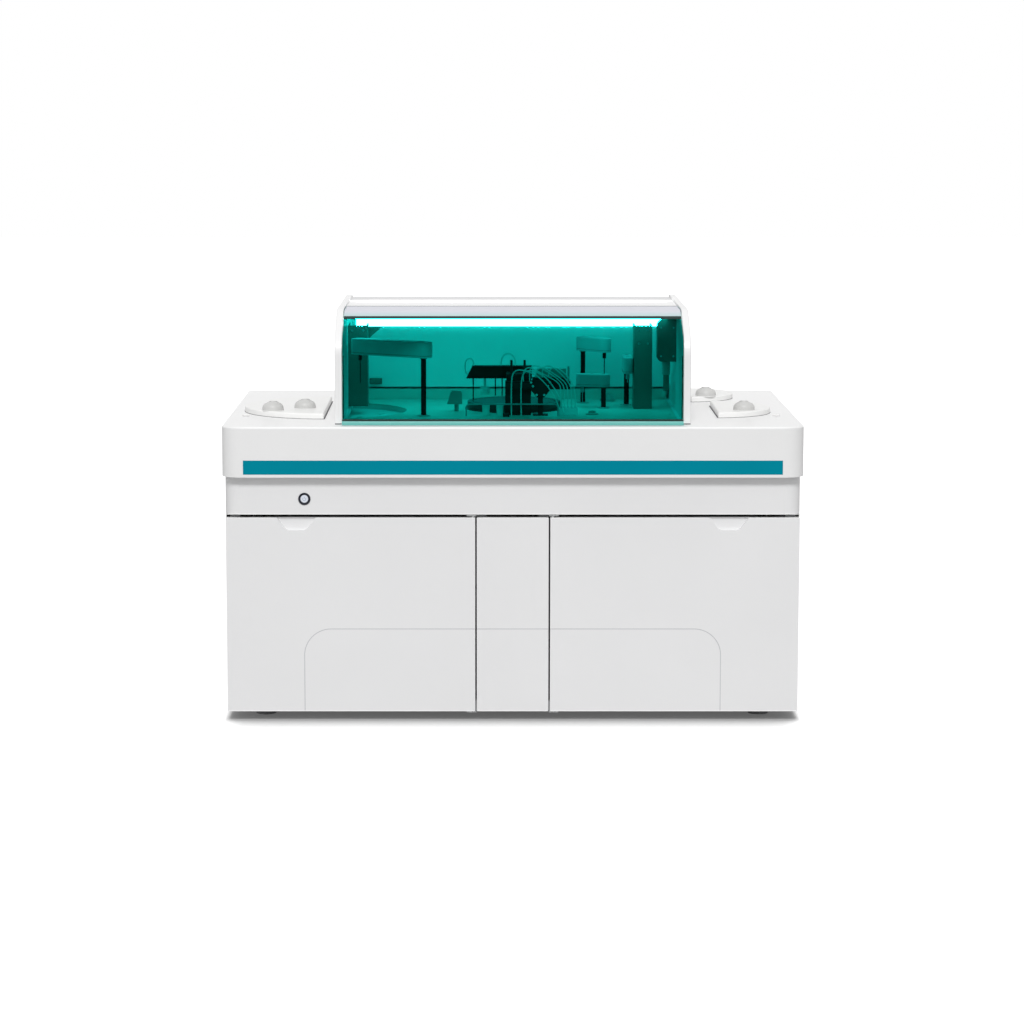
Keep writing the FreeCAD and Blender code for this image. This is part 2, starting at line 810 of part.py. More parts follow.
def make_centre_panel():
    body = new_body("CentrePanel")
    height = "(door_top - door_bottom)"
    face = new_sketch(body, "centre_face", "XZ_Plane")
    rectangle(face, ("-centre_width / 2", "centre_width / 2"), ("0", height), "door_edge")
    feature(body, "Pad", "centre_block", face, "door_thickness", reverse=True)
    hollow = new_sketch(body, "centre_inside", "XZ_Plane", "-door_skin")
    rectangle(
        hollow, ("-centre_width / 2 + door_skin", "centre_width / 2 - door_skin"),
        ("door_skin", height + " - door_skin"),
    )
    feature(body, "Pocket", "centre_hollow", hollow, "door_thickness")
    groove = new_sketch(body, "centre_groove_outline", "XZ_Plane")
    rectangle(
        groove, ("-centre_width / 2 - 1", "centre_width / 2 + 1"),
        ("groove_height - groove_width / 2", "groove_height + groove_width / 2"),
    )
    feature(body, "Pocket", "centre_groove", groove, "groove_depth")
    place(body, "0", "band_front", "door_bottom")
    pieces = [body]
    for index, (side, low) in enumerate((
        ("-1", "door_bottom + 70"), ("1", "door_bottom + 70"), ("-1", "door_top - 110"), ("1", "door_top - 110"),
    )):
        ends = sorted((
            side + " * (centre_width / 2 - door_skin / 2)",
            side + " * (centre_width / 2 - door_skin / 2 - panel_clip_width)",
        ), key=value)
        pieces.append(box(
            "PanelClip%d" % index, tuple(ends), ("band_front + door_skin / 2", "tray_front + tray_wall - seat_gap"),
            (low, low + " + panel_clip_height"),
        ))
    node(fuse("CentrePanelWhole", pieces), "centre_panel")


def make_door_pivots():
    """A bracket with a pin above and below each door's inner corner."""
    pieces = []
    for tag, sign in (("L", "-1"), ("R", "1")):
        centre = (sign + " * pivot_x", "pivot_y")
        sides = sorted((sign + " * (centre_width / 2 + 1)", sign + " * (centre_width / 2 + 1 + bracket_width)"), key=value)
        low_plate = box(
            "LowPivotPlate" + tag, tuple(sides), ("pivot_y - pivot_radius", "frame_front + tube_width"),
            ("floor_gap - bracket_thickness", "floor_gap"),
        )
        low_pin = cylinder("LowPivotPin" + tag, "pivot_radius", centre, ("floor_gap - 1", "door_bottom + pivot_reach - 2"))
        top_plate = box(
            "TopPivotPlate" + tag, tuple(sides), ("pivot_y - pivot_radius", "frame_front + tube_width"),
            ("head_rail_bottom - bracket_thickness", "head_rail_bottom"),
        )
        top_pin = cylinder("TopPivotPin" + tag, "pivot_radius", centre, ("door_top - pivot_reach + 2", "head_rail_bottom - 1"))
        pieces += [fuse("LowPivot" + tag, [low_plate, low_pin]), fuse("TopPivot" + tag, [top_plate, top_pin])]
    node(group("DoorPivots", pieces), "door_pivots")


def make_fascia():
    """The set-back band between doors and deck, open to the rear."""
    body = new_body("MiddleFascia")
    shape = new_sketch(body, "fascia_outline", "XY_Plane")
    half = "(band_width / 2)"
    back = "band_front + band_return"
    outline(shape, [
        ("-" + half, "band_front", "band_corner"), (half, "band_front", "band_corner"),
        (half, back), ("-" + half, back),
    ])
    feature(body, "Pad", "fascia_block", shape, "band_height - seat_gap")
    inside = new_sketch(body, "fascia_inside", "XY_Plane", "band_wall")
    inner = "(band_width / 2 - band_wall)"
    front = "band_front + band_wall"
    outline(inside, [
        ("-" + inner, front, "band_corner - band_wall"), (inner, front, "band_corner - band_wall"),
        (inner, back + " + 1"), ("-" + inner, back + " + 1"),
    ])
    feature(body, "Pocket", "fascia_hollow", inside, "band_height - seat_gap - 2 * band_wall", reverse=True)
    opening = new_sketch(body, "fascia_back", "XY_Plane")
    shoulder = "(band_width / 2 - band_wall - band_corner / 4)"
    outline(opening, [
        ("-" + shoulder, "door_back"), (shoulder, "door_back"), (inner, "band_front + band_corner"),
        (inner, back + " + 1"), ("-" + inner, back + " + 1"), ("-" + inner, "band_front + band_corner"),
    ])
    feature(body, "Pocket", "fascia_back_opening", opening, through=True)
    hole = new_sketch(body, "fascia_button_hole", "XZ_Plane", "-band_front")
    circle(hole, "button_across", "band_height - button_drop", "bezel_barrel")
    feature(body, "Pocket", "fascia_hole", hole, "band_wall + 2", reverse=False)
    place(body, "0", "0", "band_bottom")
    node(body, "middle_fascia")


def make_power_button():
    height = "deck_bottom - button_drop"
    start = ("button_across", "band_front - bezel_thickness", height)
    flange = lying_cylinder("BezelFlange", "bezel_radius", "y", start, "bezel_thickness")
    barrel = lying_cylinder("BezelBarrel", "bezel_barrel - 0.1", "y", start, "bezel_length")
    bore = lying_cylinder(
        "BezelBore", "button_radius + seat_gap", "y",
        ("button_across", "band_front - bezel_thickness - 1", height), "bezel_length + 2",
    )
    node(cut("ButtonBezel", fuse("BezelBody", [flange, barrel]), [bore]), "button_bezel")
    body = new_body("PowerButton")
    profile = new_sketch(body, "button_profile", "XZ_Plane")
    outline(profile, [
        ("0", "0"), ("button_radius", "0", "1.5"), ("button_radius", "button_length"), ("0", "button_length"),
    ])
    turn(body, "Revolution", "button_turned", profile)
    body.Placement = FreeCAD.Placement(Vector(), FreeCAD.Rotation(Vector(1, 0, 0), -90))
    place(body, "button_across", "band_front - bezel_thickness - button_proud + 1", height)
    node(body, "power_button")


# Deck moulding with its openings, stripe, lids, tubs and carousels

CAROUSELS = (
    ("left", "left_x", "left_y", "left_lid_radius", -1),
    ("front_right", "front_x", "front_y", "front_lid_radius", 1),
    ("rear_right", "rear_x", "rear_y", "rear_lid_radius", 1),
)


def make_deck():
    body = new_body("DeckShell")
    shape = new_sketch(body, "deck_outline", "XY_Plane")
    half = "(deck_width / 2)"

    def rounded(inset, corner, rear_corner):
        side = "(%s - %s)" % (half, inset)
        return [
            ("-" + side, "deck_front + " + inset, corner), (side, "deck_front + " + inset, corner),
            (side, "deck_rear - " + inset, rear_corner), ("-" + side, "deck_rear - " + inset, rear_corner),
        ]

    outline(shape, rounded("0", "deck_corner", "deck_rear_corner"))
    feature(body, "Pad", "deck_block", shape, "deck_height")
    round_edges(body, "deck_top_edge", "deck_edge", lambda edge: flat_at(edge, value("deck_height")))
    inside = new_sketch(body, "deck_inside", "XY_Plane", "deck_wall")
    outline(inside, rounded("deck_wall", "deck_corner - deck_wall", "deck_rear_corner - deck_wall"))
    feature(body, "Pocket", "deck_hollow", inside, "deck_height - 2 * deck_wall", reverse=True)
    under = new_sketch(body, "deck_underside", "XY_Plane")
    rectangle(
        under, ("-deck_width / 2 + deck_lip", "deck_width / 2 - deck_lip"),
        ("deck_front + deck_lip", "deck_rear - deck_lip"),
    )
    feature(body, "Pocket", "deck_under_opening", under, "deck_wall", reverse=True)
    work = new_sketch(body, "deck_work_opening", "XY_Plane", "deck_height")
    rectangle(work, ("-work_half_width", "work_half_width"), ("work_front", "work_rear"))
    feature(body, "Pocket", "deck_work_hole", work, "deck_wall + 1")
    stripe = new_sketch(body, "deck_stripe_recess", "XZ_Plane", "-deck_front")
    rectangle(stripe, ("-stripe_half_length", "stripe_half_length"), ("stripe_rise", "stripe_rise + stripe_height"))
    feature(body, "Pocket", "deck_stripe_pocket", stripe, "stripe_thickness")
    place(body, "0", "0", "deck_bottom")
    wells = []
    for name, x, y, radius, side in CAROUSELS:
        well = new_body(name.title().replace("_", "") + "Aperture")
        shape = new_sketch(well, name + "_aperture", "XY_Plane")
        segment_outline(shape, radius + " - lid_overlap", "%d * (lid_edge_offset + 8)" % side, side)
        feature(well, "Pad", name + "_aperture_block", shape, "3 * deck_wall")
        place(well, x, y, "deck_top - 2 * deck_wall")
        wells.append(well)
    node(cut("DeckWithWells", body, wells), "deck_shell")
    node(box(
        "AccentStrip", ("-stripe_half_length + seat_gap", "stripe_half_length - seat_gap"),
        ("deck_front", "deck_front + stripe_thickness"),
        ("deck_bottom + stripe_rise + seat_gap", "deck_bottom + stripe_rise + stripe_height - seat_gap"),
    ), "accent_strip")


KNOBS = {
    "left": (("-169", "-165"), ("-71", "-97")),
    "front_right": (("90", "-103"),),
    "rear_right": (("53", "-110"),),
}


def make_lid(name, x, y, radius, side):
    """A half-moon lid with a turned-down rim and domed pinch grips."""
    chord = "%d * lid_edge_offset" % side
    body = new_body(name.title().replace("_", "") + "LidShell")
    shape = new_sketch(body, name + "_lid_outline", "XY_Plane")
    segment_outline(shape, radius, chord, side)
    feature(body, "Pad", name + "_lid_block", shape, "lid_height")
    round_edges(body, name + "_lid_edge", "lid_edge", lambda edge: flat_at(edge, value("lid_height")))
    inside = new_sketch(body, name + "_lid_inside", "XY_Plane")
    segment_outline(inside, radius + " - lid_wall", "%d * (lid_edge_offset + lid_wall)" % side, side)
    feature(body, "Pocket", name + "_lid_hollow", inside, "lid_height - lid_wall", reverse=True)
    pieces = [body]
    for index, (dx, dy) in enumerate(KNOBS[name]):
        tag = "%s_knob%d" % (name, index)
        knob = new_body(tag.title().replace("_", ""))
        profile = new_sketch(knob, tag + "_profile", "XZ_Plane")
        outline(profile, [
            ("0", "-1"), ("knob_radius", "-1"), ("knob_radius * 0.93", "knob_height * 0.55", "knob_radius * 0.4"),
            ("knob_radius * 0.45", "knob_height", "knob_radius * 0.3"), ("0", "knob_height"),
        ])
        turn(knob, "Revolution", tag + "_dome", profile)
        scoops = []
        for hand in ("-1", "1"):
            scoop = doc.addObject("Part::Sphere", tag + ("_left" if hand == "-1" else "_right"))
            bind(scoop, "Radius", "knob_scoop")
            place(scoop, "%s * (knob_fin / 2 + knob_scoop * 0.9)" % hand, "0", "knob_height - 4")
            scoops.append(scoop)
        grip = cut(tag + "_grip", knob, scoops)
        place(grip, dx, dy, "lid_height")
        pieces.append(grip)
    lid = fuse(name + "_lid_whole", pieces)
    place(lid, x, y, "deck_top")
    node(lid, name + "_lid")


def make_tub(name, x, y, radius):
    """A round well on the module plate, with a boss for the rotor's spindle."""
    outer = "%s - tub_inset" % radius
    body = new_body(name.title().replace("_", "") + "Tub")
    profile = new_sketch(body, name + "_tub_profile", "XZ_Plane")
    depth = "(deck_under - plate_top)"
    outline(profile, [
        ("0", "0"), (outer, "0"), (outer, depth), (outer + " - tub_wall", depth),
        (outer + " - tub_wall", "tub_wall"), ("hub_radius", "tub_wall"),
        ("hub_radius", "rotor_rise - seat_gap"), ("spindle_radius", "rotor_rise - seat_gap"),
        ("spindle_radius", "rotor_rise + hub_gap"), ("0", "rotor_rise + hub_gap"),
    ])
    turn(body, "Revolution", name + "_tub_turned", profile)
    place(body, x, y, "plate_top")
    return body


def make_rotor(name, x, y, radius, plate_height):
    """Base plate and hub of a carousel, on the tub's spindle."""
    body = new_body(name.title().replace("_", "") + "Rotor")
    profile = new_sketch(body, name + "_rotor_profile", "XZ_Plane")
    rim = "%s - tub_inset - tub_wall - rotor_inset" % radius
    bore = "spindle_radius + running_gap"
    outline(profile, [
        (bore, "0"), (rim, "0"), (rim, "rotor_plate + 10"), (rim + " - 3", "rotor_plate + 10"),
        (rim + " - 3", "rotor_plate"), ("hub_radius", "rotor_plate"), ("hub_radius", plate_height),
        ("6", plate_height), ("6", "hub_gap + 4"), (bore, "hub_gap + 4"),
    ])
    turn(body, "Revolution", name + "_rotor_turned", profile)
    place(body, x, y, "plate_top + rotor_rise")
    return body


def make_carousels():
    left = make_tub("left", "left_x", "left_y", "left_lid_radius")
    node(left, "left_tub")
    node(make_tub("front_right", "front_x", "front_y", "front_lid_radius"), "front_right_tub")
    node(make_tub("rear_right", "rear_x", "rear_y", "rear_lid_radius"), "rear_right_tub")

    node(make_rotor("left", "left_x", "left_y", "left_lid_radius", "60"), "left_carousel")
    ring = new_body("ReagentBottles")
    shape = new_sketch(ring, "bottle_outline", "XY_Plane")
    half_turn = "180 / bottle_count"
    inner = "(bottle_inner * tan(%s) - 2)" % half_turn
    outer = "(bottle_outer * tan(%s) - 3)" % half_turn
    outline(shape, [
        ("bottle_inner", "-" + inner), ("bottle_outer", "-" + outer), ("bottle_outer", outer), ("bottle_inner", inner),
    ])
    feature(ring, "Pad", "bottle_block", shape, "bottle_height")
    doc.recompute()
    bottles = []
    count = int(value("bottle_count"))
    for index in range(count):
        angle = 2 * math.pi * index / count
        wedge = doc.addObject("Part::Feature", "Bottle%d" % index)
        neck_at = (value("bottle_inner") + value("bottle_outer")) / 2
        neck = Part.makeCylinder(value("bottle_cap"), 14, Vector(neck_at, 0, value("bottle_height")))
        wedge.Shape = ring.Shape.fuse(neck).removeSplitter()
        wedge.Placement = FreeCAD.Placement(
            Vector(value("left_x"), value("left_y"), value("plate_top + rotor_rise + rotor_plate")),
            FreeCAD.Rotation(Vector(0, 0, 1), math.degrees(angle)),
        )
        bottles.append(wedge)
    node(group("BottleRing", bottles), "reagent_bottles")

    rotor = make_rotor("front_right", "front_x", "front_y", "front_lid_radius", "60")
    rack_body = new_body("TubeRack")
    disc = new_sketch(rack_body, "rack_disc", "XY_Plane")
    circle(disc, "0", "0", "tube_circle + 14")
    circle(disc, "0", "0", "hub_radius - 0.5")
    feature(rack_body, "Pad", "rack_plate", disc, "rotor_plate")
    hole = new_sketch(rack_body, "rack_hole", "XY_Plane", "rotor_plate")
    circle(hole, "tube_circle", "0", "tube_radius + seat_gap")
    drilled = feature(rack_body, "Pocket", "rack_drilled", hole, "rotor_plate + 1")
    polar(rack_body, "rack_holes", drilled, "tube_count")
    place(rack_body, "front_x", "front_y", "plate_top + rotor_rise + 50")
    node(fuse("SampleCarousel", [rotor, rack_body]), "front_right_carousel")
    tubes = []
    for index in range(int(value("tube_count"))):
        angle = "%d * 360 / tube_count" % index
        tubes.append(cylinder(
            "SampleTube%d" % index, "tube_radius",
            ("front_x + tube_circle * cos(%s)" % angle, "front_y + tube_circle * sin(%s)" % angle),
            ("plate_top + rotor_rise + rotor_plate", "plate_top + rotor_rise + rotor_plate + tube_length"),
        ))
    node(group("SampleTubes", tubes), "sample_tubes")

    back = make_rotor("rear_right", "rear_x", "rear_y", "rear_lid_radius", "80")
    dividers = new_body("RearDividers")
    wall = new_sketch(dividers, "divider_outline", "XY_Plane")
    rectangle(wall, ("hub_radius - 1", "rear_lid_radius - tub_inset - tub_wall - rotor_inset - 2"), ("-1.5", "1.5"))
    first_wall = feature(dividers, "Pad", "divider_wall", wall, "60")
    polar(dividers, "divider_walls", first_wall, "rear_divider_count")
    ring_wall = new_sketch(dividers, "divider_ring", "XY_Plane")
    circle(ring_wall, "0", "0", "hub_radius + 3")
    feature(dividers, "Pad", "divider_hub", ring_wall, "rotor_plate")
    hollow = new_sketch(dividers, "divider_bore", "XY_Plane")
    circle(hollow, "0", "0", "hub_radius - 0.5")
    feature(dividers, "Pocket", "divider_hollow", hollow, through=True)
    place(dividers, "rear_x", "rear_y", "plate_top + rotor_rise + rotor_plate - 0.5")
    node(fuse("RearCarousel", [back, dividers]), "rear_right_carousel")


def make_reaction():
    bath = new_body("ReactionBath")
    profile = new_sketch(bath, "bath_profile", "XZ_Plane")
    outer = "reaction_radius + bath_gap + bath_wall"
    top = "(deck_top + bath_rise - plate_top)"
    inner = "(reaction_radius - reaction_rim - bath_gap)"
    floor = "(reaction_top - plate_top - reaction_rim_depth - 20)"
    outline(profile, [
        ("0", "0"), (outer, "0"), (outer, top), (outer + " - bath_wall", top),
        (outer + " - bath_wall", floor), ("hub_radius", floor),
        ("hub_radius", floor + " + 10"), ("spindle_radius", floor + " + 10"),
        ("spindle_radius", floor + " + 10 + hub_gap"), ("0", floor + " + 10 + hub_gap"),
    ])
    turn(bath, "Revolution", "bath_turned", profile)
    place(bath, "reaction_x", "reaction_y", "plate_top")
    node(bath, "reaction_bath")

    rotor = new_body("CuvetteRotor")
    shape = new_sketch(rotor, "cuvette_profile", "XZ_Plane")
    bore = "spindle_radius + running_gap"
    web = "-8"
    foot = "-reaction_rim_depth - 10 + seat_gap"
    outline(shape, [
        ("0", "0"), ("0", web), ("6", web), ("6", foot + " + hub_gap + 4"), (bore, foot + " + hub_gap + 4"),
        (bore, foot), ("hub_radius", foot), ("hub_radius", web),
        ("reaction_radius - reaction_rim", web), ("reaction_radius - reaction_rim", "-reaction_rim_depth"),
        ("reaction_radius", "-reaction_rim_depth"), ("reaction_radius", "0"),
    ])
    turn(rotor, "Revolution", "cuvette_turned", shape)
    pocket = new_sketch(rotor, "cuvette_pocket", "XY_Plane")
    middle = "(reaction_radius - reaction_rim / 2)"
    rectangle(
        pocket, (middle + " - cuvette_side / 2", middle + " + cuvette_side / 2"),
        ("-cuvette_side / 2", "cuvette_side / 2"),
    )
    single = feature(rotor, "Pocket", "cuvette_well", pocket, "cuvette_depth")
    polar(rotor, "cuvette_wells", single, "cuvette_count")
    place(rotor, "reaction_x", "reaction_y", "reaction_top")
    node(rotor, "cuvette_rotor")


def make_work_deck():
    """The plate under the hood, with an upstand at the back and holes for tubs, bath and shafts."""
    plate = box(
        "WorkPlate", ("-work_half_width + seat_gap", "work_half_width - seat_gap"),
        ("work_front + seat_gap", "work_rear - seat_gap"), ("deck_under", "deck_top"),
    )
    upstand = box(
        "WorkUpstand", ("-work_half_width + seat_gap", "work_half_width - seat_gap"),
        ("work_rear - seat_gap - 3", "work_rear - seat_gap"), ("deck_under", "upstand_top"),
    )
    low, high = "deck_under - 1", "deck_top + 1"
    tools = [
        cylinder("LeftDiscHole", "left_lid_radius - lid_overlap", ("left_x", "left_y"), (low, high)),
        cylinder(
            "BathHole", "reaction_radius + bath_gap + bath_wall + seat_gap", ("reaction_x", "reaction_y"), (low, high),
        ),
    ]
    for name in ("sample", "reagent", "dispense", "mixer"):
        tools.append(cylinder(name + "_deck_hole", "bushing_barrel + 0.1", (name + "_x", name + "_y"), (low, high)))
    node(cut("WorkDeck", fuse("WorkDeckSheet", [plate, upstand]), tools), "work_deck")
    half = "(deck_width / 2 - deck_lip - seat_gap)"
    pieces = [box(
        "ModuleSheet", ("-" + half, half), ("deck_front + deck_lip + seat_gap", "deck_rear - deck_lip - seat_gap"),
        ("deck_bottom", "plate_top"),
    )]
    for index, x in enumerate(("rib_left_x", "rib_middle_x", "rib_right_x")):
        ends = ("work_front + 15", "work_rear - 15")
        pieces.append(box("Rib%d" % index, (x, x + " + 3"), ends, ("deck_bottom + 1", "deck_under")))
        pieces.append(box("RibFlange%d" % index, (x, x + " + 20"), ends, ("deck_under - 3", "deck_under")))
    node(fuse("ModulePlate", pieces), "module_plate")


# Hood: cheeks, top and rear panels, lamp, cover and its hinge

def hood_profile(proud, top_end, bottom):
    """Front, slope and top of the hood in the YZ plane, moved outwards by an amount."""
    half_tilt = "(atan((hood_height - hood_front_height) / hood_slope_run) / 2)"
    front = "hood_front - (%s)" % proud
    return [
        (front, bottom),
        (front, "slope_start + (%s) * tan(45 deg - %s)" % (proud, half_tilt), "hood_lower_bend + (%s)" % proud),
        ("slope_end - (%s) * tan(%s)" % (proud, half_tilt), "hood_top + (%s)" % proud, "hood_upper_bend + (%s)" % proud),
        (top_end, "hood_top + (%s)" % proud),
    ]


def make_cheeks():
    for label, side in (("left", -1), ("right", 1)):
        body = new_body(label.title() + "Cheek")
        shape = new_sketch(body, label + "_cheek_outline", "YZ_Plane")
        corners = hood_profile("cheek_proud", "hood_rear", "deck_top")
        last = corners.pop()
        corners.append((last[0], last[1], "hood_rear_bend"))
        corners.append(("hood_rear", "deck_top"))
        outline(shape, corners)
        feature(body, "Pad", label + "_cheek_block", shape, "cheek_thickness")
        outer = value("cheek_thickness") if side > 0 else 0.0
        round_edges(
            body, label + "_cheek_edge", "cheek_edge",
            lambda edge: abs(edge.BoundBox.XMin - outer) < 1e-4 and abs(edge.BoundBox.XMax - outer) < 1e-4
            and edge.BoundBox.ZMax > value("deck_top") + 1,
        )
        place(body, "-hood_side" if side < 0 else "cheek_inner")
        node(body, label + "_cheek")


def make_hood_panels():
    side = "(cheek_inner - seat_gap)"
    sheet_piece = box("TopSheet", ("-" + side, side), ("panel_front", "panel_rear"), ("hood_top - top_sheet", "hood_top"))
    flange = box(
        "TopFlange", ("-" + side, side), ("panel_front", "panel_front + top_sheet"),
        ("hood_top - top_flange", "hood_top - top_sheet / 2"),
    )
    node(fuse("HoodTopPanel", [sheet_piece, flange]), "hood_top_panel")
    body = new_body("HoodRearPanel")
    shape = new_sketch(body, "rear_hood_profile", "YZ_Plane")
    wall = "top_sheet"
    rear = "hood_rear - cheek_edge"
    outline(shape, [
        ("panel_rear + seat_gap", "hood_top - " + wall), ("panel_rear + seat_gap", "hood_top"),
        (rear, "hood_top", "hood_rear_bend"), (rear, "deck_top"), (rear + " - " + wall, "deck_top"),
        (rear + " - " + wall, "hood_top - " + wall, "hood_rear_bend - " + wall),
    ])
    feature(body, "Pad", "rear_hood_sheet", shape, "2 * " + side)
    place(body, "-" + side)
    node(body, "hood_rear_panel")
    node(box(
        "InnerBackWall", ("-" + side, side), ("back_wall", "back_wall + sheet_wall"),
        ("upstand_top + back_wall_seam", "hood_top - top_sheet"),
    ), "inner_back_wall")
    node(box(
        "LightBar", ("-lamp_half_length", "lamp_half_length"),
        ("back_wall - seat_gap - lamp_depth", "back_wall - seat_gap"),
        ("hood_top - lamp_drop - lamp_height", "hood_top - lamp_drop"),
    ), "light_bar")


def make_cover():
    """The bent see-through front of the hood, its lip, and the leaves it hangs on."""
    side = "(cheek_inner - cover_side_gap)"
    body = new_body("HoodCover")
    shape = new_sketch(body, "cover_profile", "YZ_Plane")
    outer = hood_profile("0", "cover_rear", "deck_top + seat_gap + cover_lip_height - 3")
    inner = hood_profile("-cover_thickness", "cover_rear", "deck_top + seat_gap + cover_lip_height - 3")
    outline(shape, outer + list(reversed(inner)))
    feature(body, "Pad", "cover_sheet", shape, "2 * " + side)
    place(body, "-" + side)
    node(body, "hood_cover")

    lip = new_body("CoverLip")
    bar = new_sketch(lip, "lip_profile", "YZ_Plane")
    low = "deck_top + seat_gap"
    high = low + " + cover_lip_height"
    front = "hood_front - cover_lip_depth"
    outline(bar, [
        (front, low, "2"), ("hood_front + cover_thickness + 6", low), ("hood_front + cover_thickness + 6", high),
        ("hood_front + cover_thickness", high), ("hood_front + cover_thickness", high + " - 3"),
        ("hood_front", high + " - 3"), ("hood_front", high), (front, high, "4"),
    ])
    feature(lip, "Pad", "lip_bar", bar, "2 * " + side)
    place(lip, "-" + side)
    node(lip, "cover_lip")

    knuckles = []
    count = int(value("knuckle_count"))
    for index in range(count):
        start = "(%d + 0.5) * 2 * cheek_inner / knuckle_count - cheek_inner - knuckle_length / 2" % index
        barrel = lying_cylinder("Knuckle%d" % index, "hinge_radius", "x", (start, "hinge_y", "hinge_z"), "knuckle_length")
        leaf = box(
            "Leaf%d" % index, (start, start + " + knuckle_length"), ("cover_rear - hinge_leaf", "hinge_y"),
            ("hood_top - cover_thickness - 3", "hood_top - cover_thickness"),
        )
        bore = lying_cylinder(
            "KnuckleBore%d" % index, "hinge_pin_radius + running_gap", "x",
            (start + " - 1", "hinge_y", "hinge_z"), "knuckle_length + 2",
        )
        knuckles.append(cut("HingeLeaf%d" % index, fuse("LeafBody%d" % index, [barrel, leaf]), [bore]))
    node(group("CoverHingeLeaves", knuckles), "cover_hinge_leaves")
    node(lying_cylinder(
        "CoverHingePin", "hinge_pin_radius", "x", ("-cheek_inner + seat_gap", "hinge_y", "hinge_z"),
        "2 * (cheek_inner - seat_gap)",
    ), "cover_hinge_pin")


# Pipetting and mixing arms

def make_arm(name):
    """A moulded arm cover, in its own frame with the shaft at the origin, then turned into place."""
    body = new_body(name.title() + "Arm")
    shape = new_sketch(body, name + "_arm_outline", "XY_Plane")
    half = "(%s_width / 2)" % name
    rectangle(shape, ("-" + half, "%s_reach + %s" % (name, half)), ("-" + half, half), half + " - 0.5")
    feature(body, "Pad", name + "_arm_block", shape, name + "_tall")
    round_edges(
        body, name + "_arm_edge", "arm_edge", lambda edge: flat_at(edge, value(name + "_tall")),
    )
    place(body, name + "_x", name + "_y", name + "_under", name + "_angle")
    return body


def make_probe(name, tip, reach):
    """A holder and needle under the free end of an arm."""
    angle = name + "_angle"
    centre = ("%s_x + %s * cos(%s)" % (name, reach, angle), "%s_y + %s * sin(%s)" % (name, reach, angle))
    top = name + "_under"
    holder = cylinder(name + "_holder", "probe_holder_radius", centre, (top + " - probe_holder_length", top))
    needle = cylinder(name + "_needle", "probe_radius", centre, (tip, top + " - probe_holder_length / 2"))
    return fuse(name + "_probe_whole", [holder, needle])


def make_shaft(name):
    """The round shaft that lifts an arm, through its bushing in the work deck."""
    return cylinder(
        name + "_shaft_bar", name + "_shaft_radius", (name + "_x", name + "_y"),
        ("shaft_foot", name + "_under - seat_gap"),
    )


def make_bushing(name):
    centre = (name + "_x", name + "_y")
    flange = cylinder(name + "_bush_flange", "bushing_radius", centre, ("deck_top", "deck_top + bushing_flange"))
    barrel = cylinder(name + "_bush_barrel", "bushing_barrel", centre, ("deck_top - bushing_length", "deck_top + 1"))
    bore = cylinder(
        name + "_bush_bore", name + "_shaft_radius + running_gap", centre,
        ("deck_top - bushing_length - 1", "deck_top + bushing_flange + 1"),
    )
    return cut(name + "_bush", fuse(name + "_bush_body", [flange, barrel]), [bore])


def make_arms():
    for name in ("sample", "reagent"):
        node(make_shaft(name), name + "_shaft")
        node(make_arm(name), name + "_arm")
        node(make_probe(name, "probe_tip", name + "_reach"), name + "_probe")
    for name, tip, reach in (
        ("dispense", "dispense_probe_tip", "dispense_reach"), ("mixer", "probe_tip - 10", "mixer_probe_reach"),
    ):
        node(make_shaft(name), name + "_shaft")
        node(fuse(name + "_arm_whole", [make_arm(name), make_probe(name, tip, reach)]), name + "_arm")
    node(group("ShaftBushings", [make_bushing(name) for name in ("sample", "reagent", "dispense", "mixer")]), "shaft_bushings")


# Wash station, guard rail, plates and small fittings

